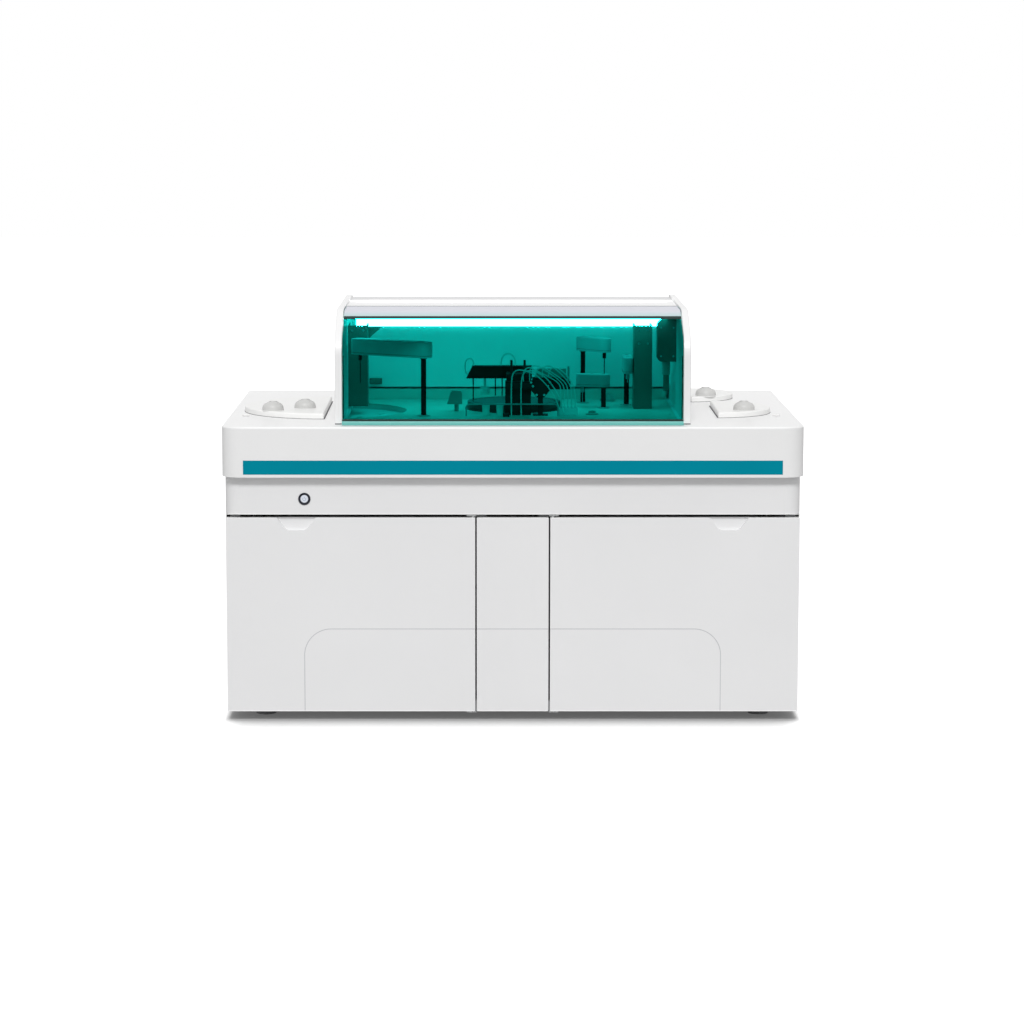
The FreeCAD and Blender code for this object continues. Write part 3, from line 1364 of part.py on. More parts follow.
def make_wash_station():
    half = "wash_column / 2"
    front = "wash_y - wash_column / 2"
    foot = box("WashFoot", ("wash_x - 24", "wash_x + 24"), (front, front + " + 34"), ("deck_top", "deck_top + 4"))
    column = box(
        "WashColumn", ("wash_x - " + half, "wash_x + " + half), (front, front + " + wash_column"),
        ("deck_top", "wash_block_top - 20"),
    )
    plate_body = new_body("WashBracket")
    shape = new_sketch(plate_body, "wash_bracket_outline", "XZ_Plane")
    outline(shape, [
        ("-wash_column / 2 - 4", "-54"), ("wash_column / 2 + 4", "-54"), ("34", "-26"), ("34", "0"),
        ("-34", "0"), ("-34", "-26"),
    ])
    feature(plate_body, "Pad", "wash_bracket_plate", shape, "6")
    place(plate_body, "wash_x", front, "wash_block_top + 4")
    beam = box(
        "WashBeam", ("wash_block_left", "wash_x + 95"), (front, front + " + 20"), ("wash_block_top - 25", "wash_block_top"),
    )
    block = box(
        "WashBlock", ("wash_block_left", "wash_block_right"), (front + " + 18", front + " + 18 + wash_block_depth"),
        ("deck_top", "wash_block_top"),
    )
    rods = [
        cylinder(
            "WashRod%d" % index, "wash_rod_radius", (x, front + " + 18 + wash_block_depth / 2"),
            ("wash_block_top - 1", "wash_block_top + wash_rod_height"),
        )
        for index, x in enumerate(("wash_block_left + 20", "wash_block_right - 20"))
    ]
    node(fuse("WashStand", [foot, column, plate_body, beam, block] + rods), "wash_stand")

    body = new_body("WashHeadBeam")
    side = new_sketch(body, "wash_head_outline", "XZ_Plane")
    outline(side, [
        ("wash_head_left", "0"), ("wash_head_right", "0"), ("wash_head_right", "wash_head_height"),
        ("wash_head_left + wash_head_slant", "wash_head_height"),
    ])
    feature(body, "Pad", "wash_head_block", side, "wash_head_depth")
    place(body, "0", "wash_head_rear", "wash_head_under")
    bridge = box(
        "WashBridge", ("wash_block_left + 4", "wash_block_right - 4"), (front + " + 20", "wash_head_rear - 2"),
        ("wash_head_under", "wash_head_under + 22"),
    )
    bores = [
        cylinder(
            "WashBore%d" % index, "wash_rod_radius + running_gap", (x, front + " + 18 + wash_block_depth / 2"),
            ("wash_head_under - 1", "wash_head_under + 30"),
        )
        for index, x in enumerate(("wash_block_left + 20", "wash_block_right - 20"))
    ]
    nozzles = [cylinder(
        "WashNeedle", "wash_nozzle_radius", ("wash_needle_x", "wash_head_rear - wash_head_depth / 2"),
        ("wash_needle_tip", "wash_head_under + 2"),
    )]
    for index in range(int(value("wash_nozzle_count"))):
        angle = "(wash_nozzle_first + %d * wash_nozzle_step)" % index
        nozzles.append(cylinder(
            "WashNozzle%d" % index, "wash_nozzle_radius",
            ("reaction_x + wash_nozzle_circle * cos(%s)" % angle, "reaction_y + wash_nozzle_circle * sin(%s)" % angle),
            ("wash_nozzle_tip", "wash_head_under + 2"),
        ))
    node(fuse("WashHead", [cut("WashHeadBored", fuse("WashHeadBody", [body, bridge]), bores)] + nozzles), "wash_head")


def make_guard_rail():
    """A bent rod on two legs in front of the reaction rotor."""
    half = value("rail_half_width")
    bend = value("rail_bend")
    height = value("rail_height")
    turned = math.sin(math.radians(45))
    points = [
        Vector(-half, 0, 0), Vector(-half, 0, height - bend), Vector(-half + bend, 0, height),
        Vector(half - bend, 0, height), Vector(half, 0, height - bend), Vector(half, 0, 0),
    ]
    left_middle = Vector(-half + bend * (1 - turned), 0, height - bend * (1 - turned))
    right_middle = Vector(half - bend * (1 - turned), 0, height - bend * (1 - turned))
    path = Part.Wire([
        Part.LineSegment(points[0], points[1]).toShape(),
        Part.Arc(points[1], left_middle, points[2]).toShape(),
        Part.LineSegment(points[2], points[3]).toShape(),
        Part.Arc(points[3], right_middle, points[4]).toShape(),
        Part.LineSegment(points[4], points[5]).toShape(),
    ])
    section = Part.Wire(Part.makeCircle(value("rail_radius"), points[0], Vector(0, 0, 1)))
    rail = doc.addObject("Part::Feature", "GuardRail")
    rail.Shape = path.makePipeShell([section], True, True)
    rail.Placement = FreeCAD.Placement(Vector(0, value("rail_y"), value("deck_top")), FreeCAD.Rotation())
    node(rail, "guard_rail")


def make_posts():
    """Two folded uprights; the left one hangs on the cheek clear of the disc.

    Its gusset is on the rear edge, out of the sample arm's sweep.
    """
    top = "post_top"
    rear = "post_front + post_depth"
    posts = []
    for tag, x0, x1, low in (
        ("Left", "-cheek_inner + seat_gap", "left_post_right", "deck_top + post_foot_gap"),
        ("Right", "right_post_left", "right_post_right", "deck_top"),
    ):
        block = box(tag + "PostBlock", (x0, x1), ("post_front", rear), (low, top))
        hollow = box(
            tag + "PostHollow", (x0 + " + post_wall", x1 + " - post_wall"), ("post_front + post_wall", rear + " + 1"),
            (low + " - 1", top + " + 1"),
        )
        post = cut(tag + "PostChannel", block, [hollow])
        posts.append(post)
    gusset_body = new_body("PostGusset")
    shape = new_sketch(gusset_body, "gusset_outline", "XZ_Plane")
    outline(shape, [("0", "0"), ("gusset_width", "0"), ("0", "-gusset_height")])
    feature(gusset_body, "Pad", "gusset_plate", shape, "post_wall", reverse=True)
    place(gusset_body, "left_post_right - 1", rear + " - post_wall", top + " - gusset_drop")
    node(group("PostPlates", [fuse("LeftPost", [posts[0], gusset_body]), posts[1]]), "post_plates")


def make_fittings():
    cup = new_body("RinseCup")
    shape = new_sketch(cup, "cup_outline", "XZ_Plane")
    outline(shape, [
        ("-cup_width / 2", "0"), ("cup_width / 2", "0"), ("cup_width / 2", "cup_height - 3"),
        ("-cup_width / 2 + 12", "cup_height"),
    ])
    feature(cup, "Pad", "cup_block", shape, "cup_depth", reverse=True)
    well = new_sketch(cup, "cup_well_outline", "XY_Plane", "cup_height + 1")
    rectangle(
        well, ("-cup_width / 2 + 12 + cup_wall", "cup_width / 2 - cup_wall"), ("cup_wall", "cup_depth - cup_wall"),
    )
    feature(cup, "Pocket", "cup_well", well, "cup_height - 6")
    place(cup, "cup_x", "cup_y - cup_depth / 2", "deck_top + cup_rise")
    stem = cylinder("CupStem", "7", ("cup_x + 6", "cup_y"), ("deck_top", "deck_top + cup_rise + 2"))
    node(fuse("RinseCupWhole", [cup, stem]), "rinse_cup")

    housing = new_body("MotorHousing")
    face = new_sketch(housing, "housing_outline", "XZ_Plane")
    right = "cheek_inner - seat_gap"
    outline(face, [
        ("housing_left", "0", "housing_corner"), (right, "0"), (right, "housing_height"),
        ("housing_left", "housing_height", "housing_top_corner"),
    ])
    feature(housing, "Pad", "housing_block", face, "housing_depth", reverse=True)
    place(housing, "0", "housing_y - housing_depth / 2", "housing_under")
    rod = cylinder(
        "HousingRod", "rod_radius", ("(housing_left + cheek_inner) / 2", "housing_y"),
        ("housing_under - rod_length", "housing_under + 2"),
    )
    node(fuse("MotorHousingWhole", [housing, rod]), "motor_housing")


# Modules that stand in the base tray

def make_modules():
    floor = "floor_gap + tray_wall"
    tanks = []
    for index in range(2):
        left = "tank_first + %d * tank_spacing" % index
        body = new_body("Tank%d" % index)
        shape = new_sketch(body, "tank_outline%d" % index, "XY_Plane")
        rectangle(shape, ("0", "tank_width"), ("0", "tank_depth"), "tank_corner")
        feature(body, "Pad", "tank_block%d" % index, shape, "tank_height")
        place(body, left, "tank_front", floor)
        neck = cylinder(
            "TankNeck%d" % index, "tank_neck", (left + " + tank_width / 2", "tank_front + tank_depth / 3"),
            (floor + " + tank_height - 1", floor + " + tank_height + tank_neck_height"),
        )
        tanks.append(fuse("TankWhole%d" % index, [body, neck]))
    node(group("FluidTanks", tanks), "fluid_tanks")

    pump = box("PumpCase", ("pump_left", "pump_left + pump_width"), ("pump_front", "pump_front + pump_depth"), (floor, floor + " + pump_height"))
    syringes = [pump]
    for index in range(int(value("syringe_count"))):
        x = "pump_left + (%d + 0.5) * pump_width / syringe_count" % index
        syringes.append(cylinder(
            "Syringe%d" % index, "syringe_radius", (x, "pump_front - syringe_radius + 2"),
            (floor + " + pump_height - syringe_length - 30", floor + " + pump_height - 30"),
        ))
    node(fuse("PumpUnit", syringes), "pump_unit")
    node(box(
        "PowerSupply", ("supply_left", "supply_left + supply_width"), ("supply_front", "supply_front + supply_depth"),
        (floor, floor + " + supply_height"),
    ), "power_supply")


def check_document():
    """Stop when an object failed, or when a sub-part has no valid shape."""
    for obj in doc.Objects:
        if "Invalid" in obj.State or "Error" in obj.State:
            raise RuntimeError("%s (%s) failed: %s" % (obj.Name, obj.Label, obj.State))
    for part in NODES:
        if part.Shape.isNull() or not part.Shape.isValid():
            raise RuntimeError("%s has no valid shape" % part.Label)


def main():
    fill_sheet()
    make_feet()
    make_tray()
    make_frame()
    make_side_panels()
    make_rear_panel()
    make_door("left", -1)
    make_door("right", 1)
    make_centre_panel()
    make_door_pivots()
    make_fascia()
    make_power_button()
    make_deck()
    for name, x, y, radius, side in CAROUSELS:
        make_lid(name, x, y, radius, side)
    make_carousels()
    make_reaction()
    make_work_deck()
    make_cheeks()
    make_hood_panels()
    make_cover()
    make_arms()
    make_wash_station()
    make_guard_rail()
    make_posts()
    make_fittings()
    make_modules()
    doc.recompute()
    check_document()
    os.makedirs("parts", exist_ok=True)
    for part in NODES:
        part.Shape.exportStep("parts/%s.step" % part.Label)
        print("%-22s solids %2d volume %12.0f" % (part.Label, len(part.Shape.Solids), part.Shape.Volume))
    print(len(NODES), "nodes")


main()
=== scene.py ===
import math

import bmesh
import bpy
from mathutils import Matrix, Vector


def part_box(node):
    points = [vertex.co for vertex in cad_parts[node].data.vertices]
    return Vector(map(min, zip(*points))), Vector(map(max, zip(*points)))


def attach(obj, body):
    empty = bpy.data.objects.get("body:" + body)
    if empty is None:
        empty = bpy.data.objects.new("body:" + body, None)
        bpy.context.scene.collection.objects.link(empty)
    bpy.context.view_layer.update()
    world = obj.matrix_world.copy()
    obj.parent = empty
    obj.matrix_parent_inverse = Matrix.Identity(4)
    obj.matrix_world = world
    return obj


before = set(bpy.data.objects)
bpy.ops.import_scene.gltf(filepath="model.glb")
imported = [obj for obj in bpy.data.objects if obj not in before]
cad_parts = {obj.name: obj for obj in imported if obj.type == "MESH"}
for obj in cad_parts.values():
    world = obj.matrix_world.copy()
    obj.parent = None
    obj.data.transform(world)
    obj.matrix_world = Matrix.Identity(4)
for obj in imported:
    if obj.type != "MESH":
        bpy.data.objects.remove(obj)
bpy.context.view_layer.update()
scene = bpy.context.scene

# Shader helpers


def new_material(name):
    material = bpy.data.materials.new(name)
    material.use_nodes = True
    return material, material.node_tree, material.node_tree.nodes["Principled BSDF"]


def put(tree, socket, value):
    """Sets a socket to a number or a colour, or links another node's output to it."""
    if isinstance(value, bpy.types.NodeSocket):
        tree.links.new(value, socket)
    elif isinstance(value, tuple):
        socket.default_value = value + (1,)
    else:
        socket.default_value = value


def computed(tree, operation, *values):
    node = tree.nodes.new("ShaderNodeMath")
    node.operation = operation
    for socket, value in zip(node.inputs, values):
        put(tree, socket, value)
    return node.outputs["Value"]


def ranged(tree, value, low, high, to_low, to_high):
    """A value carried from one range to another and held at its ends."""
    remap = tree.nodes.new("ShaderNodeMapRange")
    remap.inputs["From Min"].default_value = low
    remap.inputs["From Max"].default_value = high
    put(tree, remap.inputs["To Min"], to_low)
    put(tree, remap.inputs["To Max"], to_high)
    tree.links.new(value, remap.inputs["Value"])
    return remap.outputs["Result"]


def blended(tree, factor, first, second):
    """A colour between two others."""
    mix = tree.nodes.new("ShaderNodeMix")
    mix.data_type = "RGBA"
    tree.links.new(factor, mix.inputs["Factor"])
    put(tree, mix.inputs["A"], first)
    put(tree, mix.inputs["B"], second)
    return mix.outputs["Result"]


def object_axis(tree, axis):
    """One of the object's own coordinates, so a look stays put when a piece moves."""
    coordinates = tree.nodes.new("ShaderNodeTexCoord")
    split = tree.nodes.new("ShaderNodeSeparateXYZ")
    tree.links.new(coordinates.outputs["Object"], split.inputs["Vector"])
    return split.outputs[axis]


def object_noise(tree, scale, detail=2.0, stretch=(1, 1, 1)):
    """Noise over the object's own coordinates."""
    coordinates = tree.nodes.new("ShaderNodeTexCoord")
    mapping = tree.nodes.new("ShaderNodeMapping")
    mapping.inputs["Scale"].default_value = stretch
    noise = tree.nodes.new("ShaderNodeTexNoise")
    noise.inputs["Scale"].default_value = scale
    noise.inputs["Detail"].default_value = detail
    tree.links.new(coordinates.outputs["Object"], mapping.inputs["Vector"])
    tree.links.new(mapping.outputs["Vector"], noise.inputs["Vector"])
    return noise.outputs["Fac"]


NOISE_LOW = 0.3
NOISE_HIGH = 0.7


def spread(tree, noise, low, high):
    """Noise brought into a narrow band of values."""
    return ranged(tree, noise, NOISE_LOW, NOISE_HIGH, low, high)


def tinted(tree, colour, factor_low, factor_high, noise):
    """A colour that drifts slightly lighter and darker over the surface."""
    darker = tuple(min(1, part * factor_low) for part in colour)
    lighter = tuple(min(1, part * factor_high) for part in colour)
    return blended(tree, spread(tree, noise, 0, 1), darker, lighter)


def bumped(tree, shader, noise, strength, distance):
    bump = tree.nodes.new("ShaderNodeBump")
    bump.inputs["Strength"].default_value = strength
    bump.inputs["Distance"].default_value = distance
    tree.links.new(noise, bump.inputs["Height"])
    tree.links.new(bump.outputs["Normal"], shader.inputs["Normal"])


def is_camera_ray(tree):
    return tree.nodes.new("ShaderNodeLightPath").outputs["Is Camera Ray"]


# Materials


def paint(name, colour, rough=0.38, grain=900, bump=0.08):
    """Powder coat or painted sheet: faint orange peel and very slight shade drift."""
    material, tree, shader = new_material(name)
    drift = 0.012
    wide = object_noise(tree, 2.5)
    fine = object_noise(tree, grain, 3)
    put(tree, shader.inputs["Base Color"], tinted(tree, colour, 1 - drift, 1 + drift, wide))
    put(tree, shader.inputs["Roughness"], spread(tree, fine, rough - 0.05, rough + 0.05))
    bumped(tree, shader, fine, bump, 0.0004)
    return material


def plastic(name, colour, rough=0.45, grain=1400, bump=0.12, specular=0.5):
    """Moulded plastic with a spark-eroded grain."""
    material, tree, shader = new_material(name)
    drift = 0.02
    wide = object_noise(tree, 6)
    put(tree, shader.inputs["Base Color"], tinted(tree, colour, 1 - drift, 1 + drift, wide))
    put(tree, shader.inputs["Roughness"], spread(tree, wide, rough - 0.04, rough + 0.06))
    bumped(tree, shader, object_noise(tree, grain, 4), bump, 0.0003)
    shader.inputs["Specular IOR Level"].default_value = specular
    return material


def metal(name, colour, rough=0.3, along="z", scale=260):
    """Brushed metal with drawn lines along one axis."""
    stretch = {"x": (0.03, 1, 1), "z": (1, 1, 0.03)}[along]
    material, tree, shader = new_material(name)
    lines = object_noise(tree, scale, 3, stretch)
    put(tree, shader.inputs["Base Color"], tinted(tree, colour, 0.9, 1.05, lines))
    put(tree, shader.inputs["Roughness"], spread(tree, lines, rough - 0.08, rough + 0.1))
    bumped(tree, shader, lines, 0.1, 0.0002)
    shader.inputs["Metallic"].default_value = 1.0
    return material


def lid_finish_with_grip_shade(name, colour, grip_shade_colour, grip_foot):
    """Lid paint, with painted shade: the pinch grips that stand on its top are coloured a flat grey for the
    shade on their faces.
    """
    material = paint(name, colour, rough=0.36, grain=700, bump=0.05)
    tree = material.node_tree
    shader = tree.nodes["Principled BSDF"]
    painted = shader.inputs["Base Color"].links[0].from_socket
    # Everything above the grips' foot turns grey: painted shade for the faces of the grips.
    above = computed(tree, "GREATER_THAN", object_axis(tree, "Z"), grip_foot)
    put(tree, shader.inputs["Base Color"], blended(tree, above, painted, grip_shade_colour))
    shader.inputs["Specular IOR Level"].default_value = 0.3
    return material


def reflection_paint_by_height(name, low_colour, high_colour, low, high):
    """A satin skin whose colour changes between two heights, used to paint a reflection that fades from
    pale above to the tint below.
    """
    material, tree, shader = new_material(name)
    height = ranged(tree, object_axis(tree, "Z"), low, high, 0, 1)
    put(tree, shader.inputs["Base Color"], blended(tree, height, low_colour, high_colour))
    put(tree, shader.inputs["Roughness"], spread(tree, object_noise(tree, 60), 0.45, 0.55))
    shader.inputs["Specular IOR Level"].default_value = 0.25
    return material


def rubber(name, colour):
    material, tree, shader = new_material(name)
    fine = object_noise(tree, 500, 4)
    put(tree, shader.inputs["Base Color"], tinted(tree, colour, 0.8, 1.25, fine))
    put(tree, shader.inputs["Roughness"], spread(tree, fine, 0.65, 0.85))
    bumped(tree, shader, fine, 0.3, 0.0004)
    return material


def tinted_sheet(name, seen_tint, light_tint):
    """Clear coloured acrylic: it colours what is seen through it and shines at a flat angle."""
    material, tree, _ = new_material(name)
    tree.nodes.clear()
    output = tree.nodes.new("ShaderNodeOutputMaterial")
    clear = tree.nodes.new("ShaderNodeBsdfTransparent")
    put(tree, clear.inputs["Color"], blended(tree, is_camera_ray(tree), light_tint, seen_tint))
    gloss = tree.nodes.new("ShaderNodeBsdfGlossy")
    put(tree, gloss.inputs["Color"], (0.9, 0.93, 0.94))
    put(tree, gloss.inputs["Roughness"], spread(tree, object_noise(tree, 30), 0.03, 0.06))
    facing = tree.nodes.new("ShaderNodeLayerWeight")
    facing.inputs["Blend"].default_value = 0.5
    mix = tree.nodes.new("ShaderNodeMixShader")
    put(tree, mix.inputs["Fac"], computed(tree, "POWER", facing.outputs["Facing"], 8.5))
    tree.links.new(clear.outputs["BSDF"], mix.inputs[1])
    tree.links.new(gloss.outputs["BSDF"], mix.inputs[2])
    tree.links.new(mix.outputs["Shader"], output.inputs["Surface"])
    return material


def clear_plastic(name, colour, alpha):
    material, tree, shader = new_material(name)
    put(tree, shader.inputs["Base Color"], tinted(tree, colour, 0.95, 1.05, object_noise(tree, 12)))
    shader.inputs["Roughness"].default_value = 0.12
    shader.inputs["Alpha"].default_value = alpha
    return material


def glowing(name, colour, seen, given):
    """A lit diffuser: dazzling to look at, gentle on what it lights."""
    material, tree, shader = new_material(name)
    put(tree, shader.inputs["Emission Strength"], ranged(tree, is_camera_ray(tree), 0, 1, given, seen))
    put(tree, shader.inputs["Emission Color"], colour)
    put(tree, shader.inputs["Base Color"], colour)
    shader.inputs["Roughness"].default_value = 0.5
    return material


# The deck's top, the face of the doors, and the top of the hood, read from the part

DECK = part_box("deck_shell")[1].z
DOOR_LOW, DOOR_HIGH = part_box("left_door")
DOOR_FACE = DOOR_LOW.y
HOOD_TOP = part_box("hood_cover")[1].z
LID_TOP = DECK + 0.018
BAND_LOW = HOOD_TOP - 0.017

LID_WHITE = (0.83, 0.83, 0.82)
MATERIALS = {
    "body": paint("body_white", (0.80, 0.80, 0.805)),
    "deck": paint("deck_white", (0.83, 0.83, 0.83), rough=0.34, grain=700, bump=0.05),
    "lid": paint("lid_white", LID_WHITE, rough=0.36, grain=700, bump=0.05),
    # The lids' grips are painted grey for the shade on their faces.
    "lid_with_grip_shade": lid_finish_with_grip_shade("lid_paint_with_grip_shade", LID_WHITE, (0.56, 0.56, 0.55), LID_TOP + 0.0005),
    "stripe": plastic("stripe_blue", (0.0, 0.238, 0.325), rough=0.4, bump=0.03, specular=0.03),
    "frame": paint("frame_grey", (0.42, 0.43, 0.44), rough=0.5, grain=500, bump=0.15),
    "inner": paint("inner_white", (0.78, 0.79, 0.79), rough=0.45),
    "inner_deck": paint("inner_deck", (0.54, 0.56, 0.51), rough=0.45),
    "hood_top": paint("hood_top_white", (0.865, 0.865, 0.865), rough=0.36),
    "hood_rear": paint("hood_rear_grey", (0.63, 0.63, 0.64), rough=0.42),
    # Bright strips along the folded edges of doors and fascia: painted highlights.
    "painted_highlight": paint("edge_highlight_paint", (0.96, 0.96, 0.96), rough=0.3, bump=0.02),
    # Painted shade for the floor of the doors' pressed groove.
    "line": plastic("groove_shade_paint", (0.55, 0.55, 0.57), rough=0.6),
    "tint": tinted_sheet("cover_teal", (0.055, 0.665, 0.63), (0.45, 0.74, 0.72)),
    # The cover band's colours paint the reflection on the cover's bent top, pale above and fading to teal.
    "band": reflection_paint_by_height("cover_painted_reflection", (0.43, 0.60, 0.60), (0.66, 0.67, 0.73), BAND_LOW, HOOD_TOP - 0.001),
    "lip": plastic("lip_teal", (0.15, 0.48, 0.44), rough=0.25, bump=0.02, specular=0.4),
    # This dark also paints shade: the strip in front of the cover band and the shadow in the cover's foot
    # seam.
    "seal": rubber("seal_and_shade_dark", (0.004, 0.02, 0.018)),
    "lamp": glowing("lamp_white", (1.0, 1.0, 1.0), 345.0, 3.0),
    "arm": plastic("arm_grey", (0.74, 0.76, 0.76)),
    # A darker copy of the arm grey: painted shade on the reagent, dispense and mixer arms.
    "arm_shaded": plastic("arm_grey_painted_shade", (0.36, 0.38, 0.38)),
    "rail": plastic("rail_grey", (0.34, 0.36, 0.36), rough=0.3, bump=0.03),
    "foot": rubber("foot_grey", (0.30, 0.30, 0.31)),
    "post": paint("post_grey", (0.12, 0.16, 0.14), rough=0.5),
    "port": plastic("port_green", (0.30, 0.34, 0.32), rough=0.4),
    "black": plastic("black_plastic", (0.012, 0.014, 0.014), rough=0.5, specular=0.3),
    "shaft": metal("shaft_black", (0.03, 0.03, 0.032), rough=0.35),
    "steel": metal("steel", (0.62, 0.63, 0.63)),
    "tub": plastic("tub_grey", (0.12, 0.13, 0.13)),
    "rotor": plastic("rotor_black", (0.035, 0.04, 0.04), rough=0.4),
    "bottle": plastic("bottle_white", (0.68, 0.70, 0.68), rough=0.35, bump=0.05),
    "cap": plastic("cap_blue", (0.05, 0.18, 0.32), rough=0.4),
    "tube": clear_plastic("tube_clear", (0.8, 0.86, 0.86), 0.45),
    "tank": plastic("tank_white", (0.62, 0.65, 0.65), rough=0.4, grain=300, bump=0.1),
    "zinc": metal("supply_metal", (0.5, 0.51, 0.52), rough=0.45, along="x", scale=120),
    "button": plastic("button_white", (0.72, 0.76, 0.84), rough=0.3, bump=0.03),
    "mark": plastic("button_mark", (0.30, 0.36, 0.46), rough=0.4),
    "bezel": plastic("bezel_dark", (0.012, 0.014, 0.024), rough=0.25, bump=0.03),
    "groove": plastic("shadow_gap", (0.10, 0.10, 0.11), rough=0.7),
    "hose": clear_plastic("feed_tube", (0.75, 0.95, 0.92), 0.8),
}

NODE_LOOKS = {
    "foot": ["levelling_feet"],
    "frame": ["base_tray", "chassis_frame", "module_plate"],
    "body": [
        "left_side_panel", "right_side_panel", "rear_panel", "centre_panel", "middle_fascia",
        "left_door", "right_door",
    ],
    "hood_top": ["hood_top_panel"],
    "hood_rear": ["hood_rear_panel"],
    "deck": ["deck_shell", "left_cheek", "right_cheek"],
    "lid_with_grip_shade": ["left_lid", "front_right_lid", "rear_right_lid"],
    "bezel": ["button_bezel"],
    "stripe": ["accent_strip"],
    "inner": ["inner_back_wall"],
    "inner_deck": ["work_deck"],
    "lamp": ["light_bar"],
    "steel": ["shaft_bushings", "door_pivots"],
    "tub": ["front_right_tub", "rear_right_tub"],
    "post": ["post_plates", "motor_housing"],
    "port": ["rinse_cup"],
    "black": ["wash_stand", "wash_head", "cover_hinge_pin", "cover_hinge_leaves"],
    "tank": ["fluid_tanks"],
    "zinc": ["pump_unit", "power_supply"],
    "button": ["power_button"],
    "tint": ["hood_cover"],
    "lip": ["cover_lip"],
    "rotor": [
        "left_carousel", "front_right_carousel", "rear_right_carousel", "cuvette_rotor", "reaction_bath",
    ],
    "bottle": ["reagent_bottles", "left_tub"],
    "tube": ["sample_tubes"],
    "shaft": [
        "sample_shaft", "reagent_shaft", "dispense_shaft", "mixer_shaft", "sample_probe", "reagent_probe",
    ],
    "arm": ["sample_arm"],
    # These arms take the darker grey, painted shade.
    "arm_shaded": ["reagent_arm", "dispense_arm", "mixer_arm"],
    "rail": ["guard_rail"],
}
for look, names in NODE_LOOKS.items():
    for node_name in names:
        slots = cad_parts[node_name].data.materials
        slots.clear()
        slots.append(MATERIALS[look])

# Small builders: every size is in metres in the machine's own frame

UP = (0, 0, 1)
FORWARD = (0, -1, 0)
BACKWARD = (0, 1, 0)


def finish_piece(name, bm, material, body):
    """Turns the built mesh into a piece that rides on a body."""
    mesh = bpy.data.meshes.new(name)
    bmesh.ops.recalc_face_normals(bm, faces=bm.faces)
    bm.to_mesh(mesh)
    bm.free()
    mesh.materials.append(MATERIALS[material])
    piece = bpy.data.objects.new(name, mesh)
    scene.collection.objects.link(piece)
    mesh.shade_smooth()
    mesh.set_sharp_from_angle(angle=math.radians(40))
    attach(piece, body)


def arc_points(centre, radius, start, sweep, steps):
    """Points of an arc, with angles in degrees."""
    turns = [math.radians(start + sweep * step / steps) for step in range(steps + 1)]
    return [(centre[0] + radius * math.cos(turn), centre[1] + radius * math.sin(turn)) for turn in turns]


def ring_places(centre, radius, count):
    """Evenly spaced places round a circle."""
    return arc_points(centre, radius, 0, 360 - 360 / count, count - 1)


def add_block(bm, low, high, bevel=0.0, segments=2, place=Matrix.Identity(4)):
    """A block between two corners with rounded edges."""
    centre = [(a + b) / 2 for a, b in zip(low, high)]
    size = [b - a for a, b in zip(low, high)]
    shape = place @ Matrix.Translation(centre) @ Matrix.Diagonal(size + [1])
    made = bmesh.ops.create_cube(bm, size=1.0, matrix=shape)
    if bevel > 0:
        edges = list({edge for vert in made["verts"] for edge in vert.link_edges})
        bmesh.ops.bevel(bm, geom=edges, offset=bevel, segments=segments, profile=0.5, affect="EDGES")


def add_block_at(bm, centre, size, bevel=0.0, segments=2, place=Matrix.Identity(4)):
    """A block of a size round a centre."""
    low = [at - length / 2 for at, length in zip(centre, size)]
    high = [at + length / 2 for at, length in zip(centre, size)]
    add_block(bm, low, high, bevel, segments, place)


def turned(axis):
    """The turn that takes +Z to an axis."""
    return Vector(UP).rotation_difference(Vector(axis)).to_matrix().to_4x4()


def bridge(bm, rings):
    """Faces between each ring of corners and the next."""
    for first, second in zip(rings, rings[1:]):
        for step in range(len(first)):
            after = (step + 1) % len(first)
            bm.faces.new((first[step], first[after], second[after], second[step]))


def close_ends(bm, rings):
    bm.faces.new(list(reversed(rings[0])))
    bm.faces.new(rings[-1])


def add_lathe(bm, profile, at, axis=UP, segments=32):
    """A turned shape from (radius, height) pairs about an axis through a point."""
    place = Matrix.Translation(at) @ turned(axis)
    rings = []
    for radius, height in profile:
        if radius < 1e-6:
            rings.append([bm.verts.new(place @ Vector((0, 0, height)))])
            continue
        circle = ring_places((0, 0), radius, segments)
        rings.append([bm.verts.new(place @ Vector((a, b, height))) for a, b in circle])
    for first, second in zip(rings, rings[1:]):
        for step in range(segments):
            after = (step + 1) % segments
            if len(first) == 1:
                bm.faces.new((first[0], second[step], second[after]))
            elif len(second) == 1:
                bm.faces.new((first[step], first[after], second[0]))
            else:
                bm.faces.new((first[step], first[after], second[after], second[step]))


def disc(radius, height, start=0.0):
    """The turned profile of a flat round block."""
    return [(0, start), (radius, start), (radius, height), (0, height)]


def rim(inner, outer, height, start=0.0):
    """The turned profile of a flat ring."""
    return [(inner, start), (outer, start), (outer, height), (inner, height)]


def add_screw(bm, at, axis, radius=0.004, height=0.0018):
    """A low domed screw head with a round socket."""
    socket = radius * 0.45
    floor_height = height * 0.35
    add_lathe(bm, [
        (0, floor_height), (socket, floor_height), (socket, height), (radius * 0.75, height),
        (radius, height * 0.55), (radius, 0),
    ], at, axis, 18)


def add_plate(bm, outline, low, high, place=Matrix.Identity(4)):
    """A flat plate with an outline of (x, y) points, between two heights."""
    rings = [[bm.verts.new(place @ Vector((a, b, level))) for a, b in outline] for level in (low, high)]
    bridge(bm, rings)
    close_ends(bm, rings)


